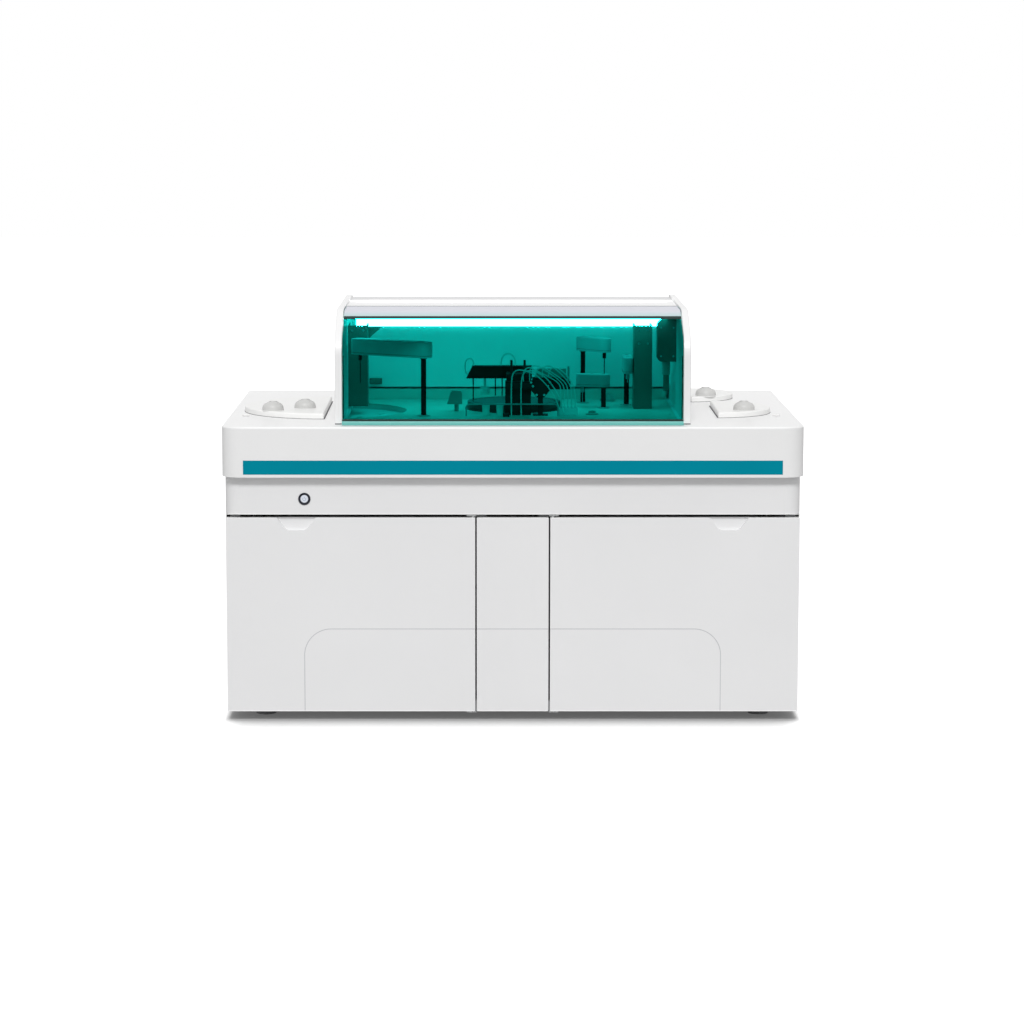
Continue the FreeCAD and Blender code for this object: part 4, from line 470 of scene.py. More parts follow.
def smooth_curve(points, steps):
    """A smooth curve through points."""
    vectors = [Vector(point) for point in points]
    last = len(vectors) - 1
    curve = []
    for index in range(last):
        before = vectors[max(index - 1, 0)]
        start = vectors[index]
        end = vectors[index + 1]
        after = vectors[min(index + 2, last)]
        for step in range(steps):
            part = step / steps
            straight = 2 * start + (end - before) * part
            square = (2 * before - 5 * start + 4 * end - after) * part ** 2
            cube = (3 * start - before - 3 * end + after) * part ** 3
            curve.append(0.5 * (straight + square + cube))
    curve.append(vectors[-1])
    return curve


def add_tube(bm, points, radius, segments=10, steps=8):
    """A bent round tube along a smooth curve through points."""
    curve = smooth_curve(points, steps)
    rings = []
    side = None
    for index, point in enumerate(curve):
        ahead = curve[min(index + 1, len(curve) - 1)] - curve[max(index - 1, 0)]
        ahead.normalize()
        if side is None:
            side = ahead.orthogonal().normalized()
        side = (side - ahead * side.dot(ahead)).normalized()
        other = ahead.cross(side)
        circle = ring_places((0, 0), radius, segments)
        rings.append([bm.verts.new(point + side * a + other * b) for a, b in circle])
    bridge(bm, rings)
    close_ends(bm, rings)


def add_ribbon(bm, path, half, back, front):
    """A flat strip of even width along a path of (x, z) points on an upright face."""
    rings = []
    for index, (x, z) in enumerate(path):
        ahead = Vector(path[min(index + 1, len(path) - 1)]) - Vector(path[max(index - 1, 0)])
        ahead.normalize()
        across = Vector((-ahead.y, ahead.x)) * half
        rings.append([
            bm.verts.new((x + across.x * side, y, z + across.y * side))
            for side, y in ((1, front), (-1, front), (-1, back), (1, back))
        ])
    bridge(bm, rings)
    close_ends(bm, rings)


# Hood cover: a pale band over its top bend that paints its reflection, dark lines beside the band (painted
# shade in front of it, the hinge seam behind it), and dark seals at its edges with their shadow painted in

COVER_LOW, COVER_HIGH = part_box("hood_cover")
COVER_SIDE = COVER_HIGH.x - 0.0003
SLOPE_FOOT = Vector((COVER_LOW.y, HOOD_TOP - 0.084))
SLOPE_HEAD = Vector((COVER_LOW.y + 0.160, HOOD_TOP))
UPPER_BEND = 0.118
BEND_STEPS = 8
BAND_FRONT = COVER_LOW.y + 0.1295
BAND_REAR = COVER_HIGH.y - 0.0192


def cover_line(start, end, offset):
    """The cover's outer line of (y, z) points from front to back, moved outwards by an offset."""
    slope = (SLOPE_HEAD - SLOPE_FOOT).normalized()
    outwards = Vector((-slope.y, slope.x))
    angle = math.atan2(slope.y, slope.x)
    centre = Vector((SLOPE_HEAD.x + UPPER_BEND * math.tan(angle / 2), HOOD_TOP - UPPER_BEND))

    def straight_at(y):
        if y > centre.x:
            return Vector((y, HOOD_TOP + offset))
        return SLOPE_FOOT + slope * ((y - SLOPE_FOOT.x) / slope.x) + outwards * offset

    points = [straight_at(start)]
    for step in range(BEND_STEPS + 1):
        turn = math.pi / 2 + angle * (1 - step / BEND_STEPS)
        towards = Vector((math.cos(turn), math.sin(turn)))
        if start < centre.x + UPPER_BEND * towards.x < end:
            points.append(centre + towards * (UPPER_BEND + offset))
    points.append(straight_at(end))
    return points


def add_cover_strip(bm, start, end, low, high):
    """A formed strip that follows the cover from cheek to cheek."""
    inner = cover_line(start, end, low)
    outer = cover_line(start, end, high)
    loop = inner + outer[::-1]
    rings = [[bm.verts.new((x, point.x, point.y)) for point in loop] for x in (-COVER_SIDE, COVER_SIDE)]
    bridge(bm, rings)
    last = len(loop) - 1
    for step in range(len(inner) - 1):
        for side in rings:
            bm.faces.new((side[step], side[step + 1], side[last - step - 1], side[last - step]))


def make_cover_trim():
    bm = bmesh.new()
    lift = 0.0001
    # A pale strip over the cover's top bend: painted reflection.
    add_cover_strip(bm, BAND_FRONT, BAND_REAR, lift, 0.0012)
    finish_piece("cover_top_reflection", bm, "band", "cover_body")
    bm = bmesh.new()
    # The dark strip in front of the band is painted shade seen through the cover; the one behind it is the
    # seam at the hinge.
    add_cover_strip(bm, BAND_FRONT - 0.0131, BAND_FRONT - 0.0001, lift, 0.0018)
    add_cover_strip(bm, BAND_REAR + 0.0002, COVER_HIGH.y - 0.0002, lift, 0.0009)
    finish_piece("cover_top_line", bm, "seal", "cover_body")


def make_cover_seals():
    # A dark seam along the cover's foot and up its sides, its dark colour also painting the shadow in the
    # seam.
    bm = bmesh.new()
    lip_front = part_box("cover_lip")[0].y
    lip_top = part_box("cover_lip")[1].z
    add_block(
        bm, (-COVER_SIDE, lip_front + 0.0012, lip_top + 0.0001),
        (COVER_SIDE, COVER_LOW.y - 0.0002, lip_top + 0.0021), 0.0006,
    )
    half = 0.0015
    front = COVER_LOW.y + 0.0042
    for x in (0.002 - COVER_SIDE, COVER_SIDE - 0.002):
        add_block(bm, (x - half, front, 0.9440), (x + half, front + 0.0040, 1.1380), 0.0004)
    finish_piece("cover_foot_seal_and_shadow", bm, "seal", "cover_body")
    # Dark strips at the cheeks' feet: painted shadow in the gap under each cheek.
    bm = bmesh.new()
    cheek_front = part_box("left_cheek")[0].y
    for side in (-1, 1):
        middle = side * 0.540
        half = 0.0108
        add_block(
            bm, (middle - half, cheek_front - 0.0015, DECK + 0.0001),
            (middle + half, cheek_front + 0.0060, DECK + 0.0030), 0.0005,
        )
    finish_piece("cheek_foot_shadow_gaps", bm, "groove", "machine")


make_cover_trim()
make_cover_seals()

# Deck: a dark joint under each lid with the shadow under its rim painted in, and latches beside the lids

LEFT_DISC = (-0.591, -0.082)
RIGHT_DISC = (0.648, -0.134)
REAR_DISC = (0.595, 0.325)
# Each row: the lid's centre, its radius, and the side of the chord that it lies on
LIDS = {
    "left": (LEFT_DISC, 0.270, -1),
    "front_right": (RIGHT_DISC, 0.182, 1),
    "rear_right": (REAR_DISC, 0.150, 1),
}
JOINT_OUTSIDE = 0.0008
JOINT_INSIDE = -0.0040
JOINT_HEIGHT = 0.0011


def half_moon(centre, radius, chord, side):
    """The part of a circle beyond an upright chord, which lies the chord's distance from the centre."""
    reach = math.degrees(math.acos(chord / radius))
    arc = arc_points((0, 0), radius, -reach, 2 * reach, 64)
    return [(centre[0] + side * a, centre[1] + b) for a, b in arc]


def make_lid_joints():
    for name, (centre, radius, side) in LIDS.items():
        # A dark ring at the lid's edge: the joint, with the shadow under the rim painted in.
        bm = bmesh.new()
        outer = half_moon(centre, radius + JOINT_OUTSIDE, -0.0005, side)
        inner = half_moon(centre, radius + JOINT_INSIDE, 0.0070, side)
        top = DECK + JOINT_HEIGHT
        rings = [
            [bm.verts.new((a, b, z)) for a, b in outline]
            for outline, z in ((outer, DECK), (outer, top), (inner, top), (inner, DECK))
        ]
        bridge(bm, rings + rings[:1])
        finish_piece(name + "_lid_joint", bm, "groove", "machine")


# Each row: the latch's place across the deck and its turn in radians
LATCHES = ((-0.845, 0.5), (0.838, -0.5))
LATCH_SIZE = (0.022, 0.010, 0.006)
LATCH_DEPTH = -0.258


def make_latches():
    bm = bmesh.new()
    height = LATCH_SIZE[2]
    for x, turn in LATCHES:
        place = Matrix.Translation((x, LATCH_DEPTH, DECK)) @ Matrix.Rotation(turn, 4, "Z")
        add_block_at(bm, (0, 0, height / 2), LATCH_SIZE, 0.002, 3, place)
        add_screw(bm, place @ Vector((0, 0, height)), UP, 0.003, 0.001)
    finish_piece("lid_latches", bm, "lid", "machine")


make_lid_joints()
make_latches()

# Power button: a plain power sign on its face

BUTTON = Vector((-0.645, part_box("power_button")[0].y, 0.700))


def make_power_sign():
    bm = bmesh.new()
    front = -0.0001
    back = 0.0002
    inner = 0.0044
    outer = 0.0056
    section = ((inner, front), (outer, front), (outer, back), (inner, back))
    rings = []
    for across, up in arc_points((0, 0), 1, 130, 280, 28):
        corners = [BUTTON + Vector((radius * across, y, radius * up)) for radius, y in section]
        rings.append([bm.verts.new(corner) for corner in corners])
    bridge(bm, rings)
    close_ends(bm, rings)
    half = 0.0006
    add_block(bm, BUTTON + Vector((-half, front, 0.0016)), BUTTON + Vector((half, back, 0.0066)))
    finish_piece("power_sign", bm, "mark", "button_body")


make_power_sign()

# Wash station: bracket screws, feed tubes with their manifold and tray, and the head's own tubes

STAND_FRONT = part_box("wash_stand")[0].y
BRACKET_MIDDLE = 0.090
FEED_COUNT = 5
FEED_START = 0.154
FEED_PITCH = 0.0115
TRAY_TOP = DECK + 0.025
HEAD_MIDDLE = -0.131
FRONT_TUBE_RUNS = (
    [
        (-0.002, -0.2535, DECK), (-0.002, -0.2535, 1.030), (0.008, -0.2550, 1.068), (0.040, -0.2580, 1.071),
        (0.085, -0.2620, 1.050), (0.128, -0.2620, 1.000), (0.150, -0.2580, 0.9485), (0.154, -0.2560, DECK),
    ],
    [
        (0.029, -0.2535, DECK), (0.029, -0.2535, 1.028), (0.040, -0.2560, 1.066), (0.070, -0.2620, 1.069),
        (0.110, -0.2650, 1.046), (0.146, -0.2640, 0.995), (0.162, -0.2590, 0.9485), (0.166, -0.2570, DECK),
    ],
)
HEAD_TUBE_RUNS = (
    [
        (-0.122, HEAD_MIDDLE, 1.074), (-0.124, HEAD_MIDDLE, 1.090), (-0.134, HEAD_MIDDLE, 1.100),
        (-0.147, HEAD_MIDDLE, 1.092), (-0.151, HEAD_MIDDLE, 1.070), (-0.146, HEAD_MIDDLE, 1.052),
        (-0.136, HEAD_MIDDLE, 1.048),
    ],
    [
        (-0.034, HEAD_MIDDLE, 1.074), (-0.033, HEAD_MIDDLE, 1.098), (-0.022, HEAD_MIDDLE, 1.113),
        (-0.004, HEAD_MIDDLE, 1.113), (0.009, HEAD_MIDDLE, 1.098), (0.012, HEAD_MIDDLE, 1.074),
    ],
)


def make_bracket_screws():
    bm = bmesh.new()
    for half, z in ((0.024, 1.022), (0.030, 1.034), (0.012, 0.994)):
        for x in (BRACKET_MIDDLE - half, BRACKET_MIDDLE + half):
            add_screw(bm, (x, STAND_FRONT, z), FORWARD, 0.0036, 0.0018)
    finish_piece("wash_bracket_screws", bm, "lid", "machine")


def make_feed_tubes():
    bm = bmesh.new()
    for run in FRONT_TUBE_RUNS:
        add_tube(bm, run, 0.0021)
    for index in range(FEED_COUNT):
        x = 0.036 + 0.020 * index
        foot = FEED_START + FEED_PITCH * index
        lift = 0.006 * (index % 2)
        add_tube(bm, [
            (x, -0.244, 1.034), (x + 0.001, -0.246, 1.066 + lift), (x + 0.016, -0.250, 1.080 + lift),
            (x + 0.040, -0.262, 1.072 + lift), (foot - 0.010, -0.262, 1.034), (foot, -0.256, 0.995),
            (foot, -0.250, 0.950),
        ], 0.0019)
    finish_piece("wash_feed_tubes", bm, "hose", "machine")


def make_manifold():
    bm = bmesh.new()
    add_block(bm, (0.0780, -0.240, 1.0480), (0.1720, -0.226, 1.0760), 0.002)
    pin = [(0, 0), (0.0036, 0), (0.0036, 0.042), (0.0026, 0.048), (0, 0.048)]
    add_lathe(bm, pin, (0.1790, -0.241, 1.0360), segments=18)
    finish_piece("wash_manifold", bm, "port", "machine")
    bm = bmesh.new()
    add_block(bm, (0.0640, -0.250, 1.0355), (0.1740, -0.224, 1.0490), 0.0015)
    finish_piece("wash_beam_cap", bm, "black", "machine")
    bm = bmesh.new()
    add_block(bm, (0.1460, -0.260, DECK), (0.2090, -0.240, TRAY_TOP), 0.002)
    nipple = [(0, 0), (0.0040, 0), (0.0036, 0.005), (0, 0.005)]
    for index in range(FEED_COUNT):
        add_lathe(bm, nipple, (FEED_START + FEED_PITCH * index, -0.250, TRAY_TOP - 0.0005), segments=14)
    finish_piece("wash_feed_tray", bm, "tube", "machine")


def make_head_details():
    bm = bmesh.new()
    for run in HEAD_TUBE_RUNS:
        add_tube(bm, run, 0.0020)
    finish_piece("wash_head_tubes", bm, "hose", "wash_head_body")
    bm = bmesh.new()
    stem = 0.004
    cup = 0.0145
    cup_end = 0.0125
    add_lathe(bm, [
        (0, 0.052), (stem, 0.052), (stem, 0.027), (cup_end, 0.025), (cup, 0.022), (cup, 0.002),
        (cup_end, 0), (0, 0),
    ], (-0.086, HEAD_MIDDLE, 0.9840), segments=28)
    finish_piece("wash_head_cup", bm, "hose", "wash_head_body")


make_bracket_screws()
make_feed_tubes()
make_manifold()
make_head_details()

# The still plate over the left disc, seen through the hood, with collars round its probe holes and black
# discs painted for the shade in them

PLATE_RADIUS = 0.2538
PLATE_LOW = 0.9050
PLATE_HIGH = 0.9080
PROBE_HOLE = 0.0075
PROBE_HOLES = ((-0.4868, -0.1233), (-0.4200, -0.0300))


def make_disc_plate():
    bm = bmesh.new()
    outline = half_moon(LEFT_DISC, PLATE_RADIUS, 0.006, 1)
    add_plate(bm, outline, PLATE_LOW, PLATE_HIGH)
    collar = [
        (PROBE_HOLE, 0), (0.0125, 0), (0.0120, 0.0022), (PROBE_HOLE + 0.0005, 0.0026), (PROBE_HOLE, 0),
    ]
    for x, y in PROBE_HOLES:
        add_lathe(bm, collar, (x, y, PLATE_HIGH), segments=30)
    finish_piece("left_disc_plate", bm, "bottle", "machine")
    # Black discs on the plate: painted shade for the insides of the probe holes.
    bm = bmesh.new()
    for x, y in PROBE_HOLES:
        add_lathe(bm, disc(PROBE_HOLE, 0.0004), (x, y, PLATE_HIGH), segments=30)
    finish_piece("left_disc_hole_shade", bm, "black", "machine")


make_disc_plate()

# Work deck: small cups, a cone-shaped rinse port, sensors and fixing screws

# Each row: the cup's place across the deck and its radius
SMALL_CUPS = ((-0.083, 0.0128), (-0.0388, 0.0120))
DECK_SCREWS = (
    (-0.300, -0.470), (0.0, -0.470), (0.250, -0.470), (0.505, -0.470), (0.505, -0.200), (0.505, 0.100),
    (-0.250, 0.240), (0.0, 0.240), (0.250, 0.240), (0.460, 0.240), (-0.130, 0.200), (0.150, 0.230),
)


def make_deck_cups():
    bm = bmesh.new()
    height = 0.034
    for x, radius in SMALL_CUPS:
        add_lathe(bm, [
            (0, 0.002), (radius - 0.0035, 0.002), (radius - 0.0015, height), (radius, height),
            (radius - 0.002, 0), (0, 0),
        ], (x, -0.240, DECK), segments=28)
    finish_piece("rinse_cups", bm, "hose", "machine")
    bm = bmesh.new()
    cone = [
        (0, 0), (0.025, 0), (0.025, 0.005), (0.021, 0.010), (0.013, 0.021), (0.009, 0.024), (0.008, 0.012),
        (0, 0.012),
    ]
    dish = [
        (0, 0), (0.020, 0), (0.020, 0.004), (0.012, 0.006), (0.011, 0.012), (0.007, 0.012), (0.006, 0.004),
        (0, 0.004),
    ]
    sleeve = [(0.0098, 0), (0.0125, 0), (0.0125, 0.040), (0.0112, 0.043), (0.0098, 0.043)]
    add_lathe(bm, cone, (0.320, 0.211, DECK), segments=40)
    add_lathe(bm, dish, (0.255, -0.215, DECK), segments=30)
    add_lathe(bm, sleeve, (0.49875, -0.075, 1.0420), segments=30)
    finish_piece("rinse_ports", bm, "port", "machine")


def make_sensors():
    bm = bmesh.new()
    add_block(bm, (-0.0295, -0.288, DECK), (-0.0090, -0.272, DECK + 0.011), 0.0015)
    finish_piece("deck_sensor", bm, "black", "machine")
    bm = bmesh.new()
    front = 0.2600
    add_block(bm, (-0.4717, front, 0.9780), (-0.4301, 0.2751, 0.9980), 0.002)
    for x in (-0.4660, -0.4358):
        add_screw(bm, (x, front, 0.9880), FORWARD, 0.0022, 0.0010)
    finish_piece("wall_sensor", bm, "post", "machine")


def make_deck_screws():
    bm = bmesh.new()
    for x, y in DECK_SCREWS:
        add_screw(bm, (x, y, DECK), UP, 0.0045, 0.0018)
    finish_piece("work_deck_screws", bm, "steel", "machine")
    bm = bmesh.new()
    post_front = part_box("post_plates")[0].y
    for x in (-0.515, -0.480, 0.412, 0.440):
        for z in (1.140, 1.182):
            add_screw(bm, (x, post_front, z), FORWARD, 0.004, 0.002)
    housing_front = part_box("motor_housing")[0].y
    for x in (0.480, 0.520):
        for z in (1.104, 1.196):
            add_screw(bm, (x, housing_front, z), FORWARD, 0.003, 0.0015)
    finish_piece("post_screws", bm, "steel", "machine")


make_deck_cups()
make_sensors()
make_deck_screws()

# Doors: painted shade on the floor of the pressed groove, and painted highlights along the folded edges of
# doors and fascia

GROOVE_SIDE = 0.648
GROOVE_TOP = DOOR_LOW.z + 0.261
GROOVE_BEND = 0.083
GROOVE_HALF = 0.0013
CENTRE_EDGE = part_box("centre_panel")[1].x
FASCIA_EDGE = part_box("middle_fascia")[1].x
FASCIA_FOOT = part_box("middle_fascia")[0].z


# A darker strip in the groove: painted shade.
def add_groove_shade_strip(bm, path):
    add_ribbon(bm, path, GROOVE_HALF, DOOR_FACE + 0.0008, DOOR_FACE - 0.0001)


def add_highlight_strip(bm, ends, low, high):
    """A thin bright strip between two places across the front: a painted highlight on an edge."""
    left, right = sorted(ends)
    add_block(bm, (left, DOOR_FACE - 0.0003, low), (right, DOOR_FACE + 0.0010, high), 0.0003)


def make_door_lines():
    top_highlight = (DOOR_HIGH.z - 0.0024, DOOR_HIGH.z - 0.0002)
    foot_highlight = (DOOR_LOW.z + 0.0003, DOOR_LOW.z + 0.0029)
    scoop = (0.6090, 0.7330)
    inner = 0.002 - DOOR_HIGH.x
    outer = -DOOR_LOW.x - 0.0025
    for side, name in ((-1, "left"), (1, "right")):
        bend = (GROOVE_SIDE - GROOVE_BEND, GROOVE_TOP - GROOVE_BEND)
        path = [(GROOVE_SIDE, DOOR_LOW.z + 0.0005)]
        path += arc_points(bend, GROOVE_BEND, 0, 90, 16)
        path.append((0.1170, GROOVE_TOP))
        bm = bmesh.new()
        add_groove_shade_strip(bm, [(side * x, z) for x, z in path])
        finish_piece(name + "_door_groove_shade", bm, "line", name + "_door_body")
        bm = bmesh.new()
        add_highlight_strip(bm, (side * inner, side * scoop[0]), *top_highlight)
        add_highlight_strip(bm, (side * scoop[1], side * outer), *top_highlight)
        add_highlight_strip(bm, (side * inner, side * outer), *foot_highlight)
        finish_piece(name + "_door_edge_highlights", bm, "painted_highlight", name + "_door_body")
    bm = bmesh.new()
    groove_end = CENTRE_EDGE - 0.0003
    add_groove_shade_strip(bm, [(-groove_end, GROOVE_TOP), (0.0, GROOVE_TOP), (groove_end, GROOVE_TOP)])
    finish_piece("centre_groove_shade", bm, "line", "machine")
    bm = bmesh.new()
    highlight_end = CENTRE_EDGE - 0.001
    add_highlight_strip(bm, (-highlight_end, highlight_end), *foot_highlight)
    add_highlight_strip(bm, (-highlight_end, highlight_end), *top_highlight)
    add_highlight_strip(bm, (0.002 - FASCIA_EDGE, FASCIA_EDGE - 0.002), FASCIA_FOOT + 0.0002, FASCIA_FOOT + 0.0024)
    finish_piece("front_edge_highlights", bm, "painted_highlight", "machine")


make_door_lines()

# Cabinet: sheet screws, mains inlet, tank caps and module fronts

SIDE_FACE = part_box("right_side_panel")[1].x
REAR_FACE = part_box("rear_panel")[1].y
HOOD_REAR_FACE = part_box("hood_rear_panel")[1].y
LOUVRE_COLUMN = 0.43
SHEET_TOP = 0.755
SHEET_FOOT = 0.050


def make_sheet_screws():
    bm = bmesh.new()
    for side in (-1, 1):
        for y in (-0.46, -0.10, 0.26, 0.53):
            for z in (SHEET_FOOT, SHEET_TOP):
                add_screw(bm, (side * SIDE_FACE, y, z), (side, 0, 0), 0.0045, 0.002)
    for x in (-0.86, -0.43, 0.0, LOUVRE_COLUMN, 0.86):
        for z in (SHEET_FOOT, 0.400, SHEET_TOP):
            in_louvres = x == LOUVRE_COLUMN and z == 0.400
            if not in_louvres:
                add_screw(bm, (x, REAR_FACE, z), BACKWARD, 0.0045, 0.002)
    for x in (-0.50, -0.25, 0.0, 0.25, 0.50):
        for z in (0.96, 1.21):
            add_screw(bm, (x, HOOD_REAR_FACE, z), BACKWARD, 0.004, 0.002)
    finish_piece("sheet_screws", bm, "steel", "machine")


INLET = (0.624, 0.135)


def make_mains_inlet():
    bm = bmesh.new()
    x, z = INLET
    add_block_at(bm, (x, REAR_FACE + 0.0010, z), (0.061, 0.0050, 0.043), 0.0015)
    add_block_at(bm, (x, REAR_FACE - 0.00275, z), (0.045, 0.0145, 0.027), 0.002)
    finish_piece("mains_inlet_body", bm, "black", "machine")
    bm = bmesh.new()
    for across, up in ((-0.010, -0.003), (0.010, -0.003), (0.0, 0.005)):
        centre = (x + across, REAR_FACE + 0.00575, z + up)
        add_block_at(bm, centre, (0.0024, 0.0035, 0.006), 0.0004)
    finish_piece("mains_inlet_pins", bm, "steel", "machine")


TANKS = ((-0.650, -0.290), (-0.320, -0.290))
TANK_CAP = 0.046
CAP_RIBS = 24


def make_tank_caps():
    bm = bmesh.new()
    tank_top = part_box("fluid_tanks")[1].z
    cap = [
        (0, 0), (TANK_CAP, 0), (TANK_CAP, 0.018), (TANK_CAP - 0.003, 0.022), (0.012, 0.022), (0.010, 0.034),
        (0, 0.034),
    ]
    for centre in TANKS:
        add_lathe(bm, cap, (*centre, tank_top), segments=48)
        for x, y in ring_places(centre, TANK_CAP + 0.0002, CAP_RIBS):
            add_lathe(bm, disc(0.0018, 0.018, 0.001), (x, y, tank_top), segments=8)
    finish_piece("tank_caps", bm, "cap", "machine")


PUMP_COUNT = 4
PUMP_PITCH = 0.075


def make_pump_valves():
    bm = bmesh.new()
    pump_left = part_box("pump_unit")[0].x
    for index in range(PUMP_COUNT):
        x = pump_left + (index + 0.5) * PUMP_PITCH
        add_lathe(bm, disc(0.006, 0.024), (x, -0.409, 0.134), segments=16)
        add_block(bm, (x - 0.018, -0.424, 0.283), (x + 0.018, -0.398, 0.312), 0.003)
        add_block(bm, (x - 0.014, -0.420, 0.125), (x + 0.014, -0.400, 0.136), 0.002)
    finish_piece("pump_valves", bm, "black", "machine")


def make_fan_guard():
    bm = bmesh.new()
    supply_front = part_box("power_supply")[0].y
    centre = (0.675, supply_front, 0.150)
    add_lathe(bm, rim(0.048, 0.050, -0.004), centre, BACKWARD, 40)
    for radius in (0.012, 0.022, 0.032, 0.042):
        add_lathe(bm, rim(radius - 0.0012, radius + 0.0012, -0.003), centre, BACKWARD, 40)
    add_block(bm, (0.580, supply_front - 0.004, 0.205), (0.620, supply_front + 0.001, 0.235), 0.0015)
    finish_piece("supply_fan_guard", bm, "black", "machine")


make_sheet_screws()
make_mains_inlet()
make_tank_caps()
make_pump_valves()
make_fan_guard()

# Carousels: bottle caps and coloured tube stoppers

BOTTLE_COUNT = 14
BOTTLE_RING = 0.193
TUBE_COUNT = 18
TUBE_RING = 0.138


def make_carousel_details():
    bm = bmesh.new()
    bottle_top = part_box("reagent_bottles")[1].z + 0.0005
    cap = [
        (0, -0.013), (0.0128, -0.013), (0.0128, -0.001), (0.0115, 0.0005), (0.0045, 0.0005),
        (0.0040, 0.004), (0, 0.004),
    ]
    for x, y in ring_places(LEFT_DISC, BOTTLE_RING, BOTTLE_COUNT):
        add_lathe(bm, cap, (x, y, bottle_top), segments=22)
    finish_piece("bottle_caps", bm, "bottle", "left_carousel_body")
    bm = bmesh.new()
    stopper = [(0, -0.004), (0.0072, -0.004), (0.0078, 0.002), (0.0078, 0.010), (0.0068, 0.012), (0, 0.012)]
    tube_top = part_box("sample_tubes")[1].z
    for x, y in ring_places(RIGHT_DISC, TUBE_RING, TUBE_COUNT):
        add_lathe(bm, stopper, (x, y, tube_top), segments=18)
    finish_piece("tube_stoppers", bm, "cap", "front_right_carousel_body")


make_carousel_details()

# Arms: a joint line round each cover, and screw caps on top

# Each row: the shaft's place at the cover's underside, the angle, then the cover's reach, width and height
ARMS = {
    "sample": ((-0.281, -0.258, 1.113), 146.8, 0.246, 0.056, 0.050),
    "reagent": ((0.237, 0.150, 1.102), -50.0, 0.105, 0.044, 0.046),
    "dispense": ((0.299, -0.013, 0.997), 165.0, 0.070, 0.042, 0.041),
    "mixer": ((0.378, 0.081, 1.041), -90.0, 0.110, 0.032, 0.052),
}
JOINT_LINE_LOW = 0.0060
JOINT_LINE_HIGH = 0.0072
SCREW_CAP = 0.0050
SHAFT_COLLAR = 0.0115


def make_arm_details():
    for name, (shaft, angle, reach, width, tall) in ARMS.items():
        place = Matrix.Translation(shaft) @ Matrix.Rotation(math.radians(angle), 4, "Z")
        end = width / 2 + 0.0004
        bm = bmesh.new()
        outline = arc_points((reach, 0), end, -90, 180, 16) + arc_points((0, 0), end, 90, 180, 16)
        add_plate(bm, outline, JOINT_LINE_LOW, JOINT_LINE_HIGH, place)
        finish_piece(name + "_arm_joint", bm, "groove", name + "_arm_body")
        bm = bmesh.new()
        cap = [(0, 0.0008), (0.0042, 0.0008), (SCREW_CAP, 0), (SCREW_CAP, -0.001)]
        for along in (0.0, reach * 0.55):
            add_lathe(bm, cap, place @ Vector((along, 0, tall)), segments=20)
        add_lathe(bm, disc(SHAFT_COLLAR, 0.0, -0.004), shaft, segments=28)
        finish_piece(name + "_arm_caps", bm, "post", name + "_arm_body")


make_arm_details()

# Floor, light and camera

SHADE_REACH = 0.18
SIDE_SHADE_REACH = 0.04


def make_floor():
    """A white floor that shines to the camera, with a painted shadow beneath and in front of the cabinet
    that reaches less far beside it.
    """
    bpy.ops.mesh.primitive_plane_add(size=60, location=(0, 0, 0))
    floor = bpy.context.object
    floor.name = "floor"
    material, tree, shader = new_material("floor_white")
    put(tree, shader.inputs["Base Color"], (0.45, 0.45, 0.45))
    shader.inputs["Roughness"].default_value = 0.9
    shader.inputs["Specular IOR Level"].default_value = 0.0
    # The floor's glow to the camera is dimmed by ambient occlusion: a painted contact shadow.
    across = computed(tree, "ABSOLUTE", object_axis(tree, "X"))
    contact_shadow = tree.nodes.new("ShaderNodeAmbientOcclusion")
    contact_shadow.samples = 12
    put(tree, contact_shadow.inputs["Distance"], ranged(tree, across, 0.84, 0.90, SHADE_REACH, SIDE_SHADE_REACH))
    unshadowed_part = ranged(tree, contact_shadow.outputs["AO"], 0.5, 1.0, 0, 1)
    level = computed(tree, "MULTIPLY_ADD", computed(tree, "POWER", unshadowed_part, 1.2), 0.72, 0.10)
    put(tree, shader.inputs["Emission Strength"], computed(tree, "MULTIPLY", is_camera_ray(tree), level))
    put(tree, shader.inputs["Emission Color"], (1, 1, 1))
    floor.data.materials.append(material)


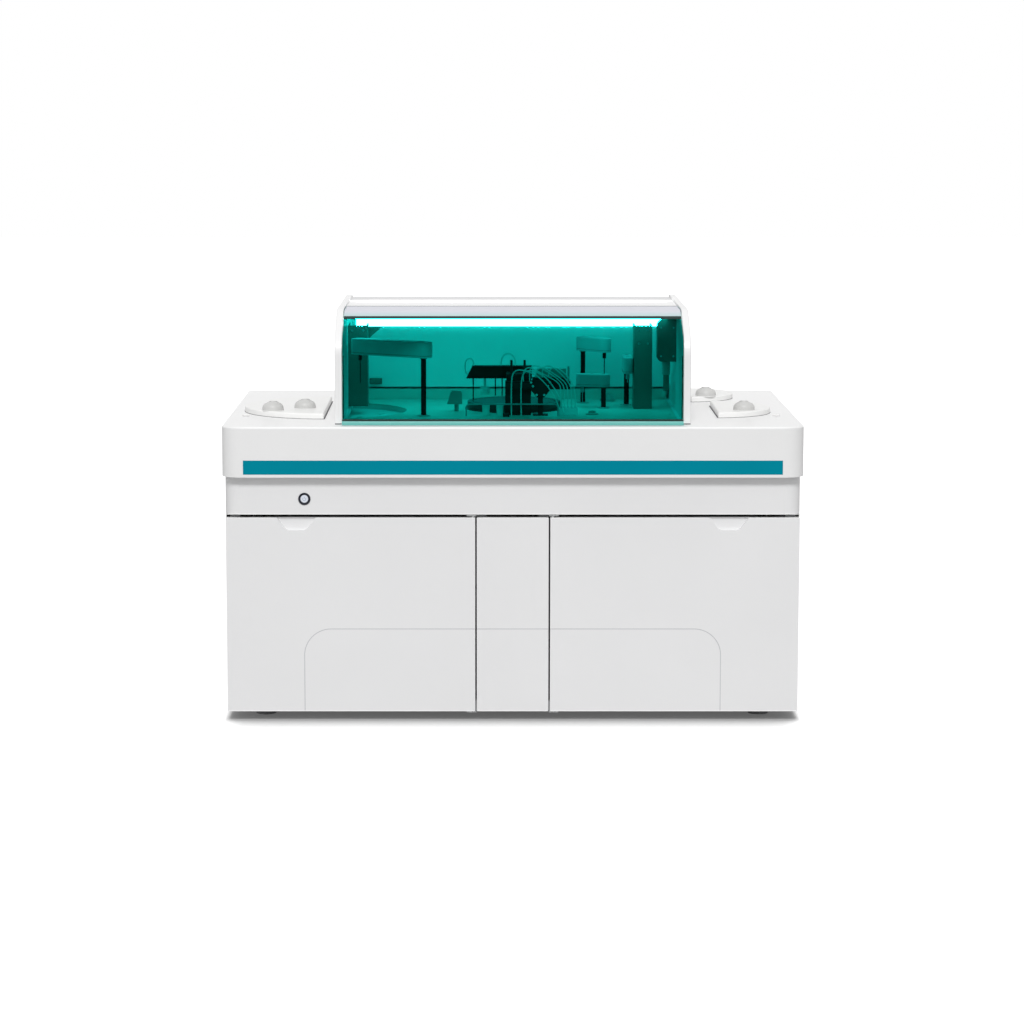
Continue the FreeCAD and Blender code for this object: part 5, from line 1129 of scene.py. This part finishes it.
def make_world():
    """Plain white to look at, also in reflections, and a softer white as light."""
    world = bpy.data.worlds.new("studio")
    scene.world = world
    world.use_nodes = True
    tree = world.node_tree
    background = tree.nodes["Background"]
    path = tree.nodes.new("ShaderNodeLightPath")
    direct = computed(tree, "MAXIMUM", path.outputs["Is Camera Ray"], path.outputs["Is Glossy Ray"])
    white = computed(tree, "MAXIMUM", direct, path.outputs["Is Transmission Ray"])
    put(tree, background.inputs["Strength"], ranged(tree, white, 0, 1, 0.60, 1.0))
    put(tree, background.inputs["Color"], (1, 1, 1))


def aimed(direction):
    """The turn that points a lamp's -Z along a direction."""
    return Vector(direction).to_track_quat("-Z", "Y").to_euler()


def add_sun(elevation, spread_angle, strength):
    """The key light, from behind the camera and a little to its left."""
    light = bpy.data.lights.new("key", "SUN")
    light.energy = strength
    light.angle = math.radians(spread_angle)
    sun = bpy.data.objects.new("key", light)
    fall = math.radians(elevation)
    sun.rotation_euler = aimed((0.03, math.cos(fall), -math.sin(fall)))
    scene.collection.objects.link(sun)


def add_hood_glow():
    """The light that the hood's own lamp throws on the work deck."""
    at = Vector((0.0, -0.01, 1.252))
    target = Vector((0.0, 0.09, 0.93))
    light = bpy.data.lights.new("hood_glow", "AREA")
    light.shape = "RECTANGLE"
    light.size = 1.00
    light.size_y = 0.26
    light.energy = 3.6
    lamp = bpy.data.objects.new("hood_glow", light)
    lamp.location = at
    lamp.rotation_euler = aimed(target - at)
    lamp.visible_camera = False
    lamp.visible_glossy = False
    scene.collection.objects.link(lamp)


PHOTO_WIDTH = 1024
FOCAL_PIXELS = 3083.1
CENTRE_PIXEL = 486.3
SENSOR = 36.0
CAMERA_PLACE = (-0.082, -10.0, 1.971)
CAMERA_FALL = 7.9


def add_camera():
    """The photograph's view, with the lens worked out from the machine's perspective."""
    data = bpy.data.cameras.new("camera")
    data.sensor_width = SENSOR
    data.lens = FOCAL_PIXELS / PHOTO_WIDTH * SENSOR
    data.shift_x = (PHOTO_WIDTH / 2 - CENTRE_PIXEL) / PHOTO_WIDTH
    data.clip_end = 100
    camera = bpy.data.objects.new("camera", data)
    camera.location = CAMERA_PLACE
    camera.rotation_euler = (math.radians(90 - CAMERA_FALL), 0, 0)
    scene.collection.objects.link(camera)
    scene.camera = camera


make_floor()
make_world()
add_sun(elevation=43.5, spread_angle=14, strength=1.81)
add_hood_glow()
add_camera()
scene.view_settings.view_transform = "Standard"
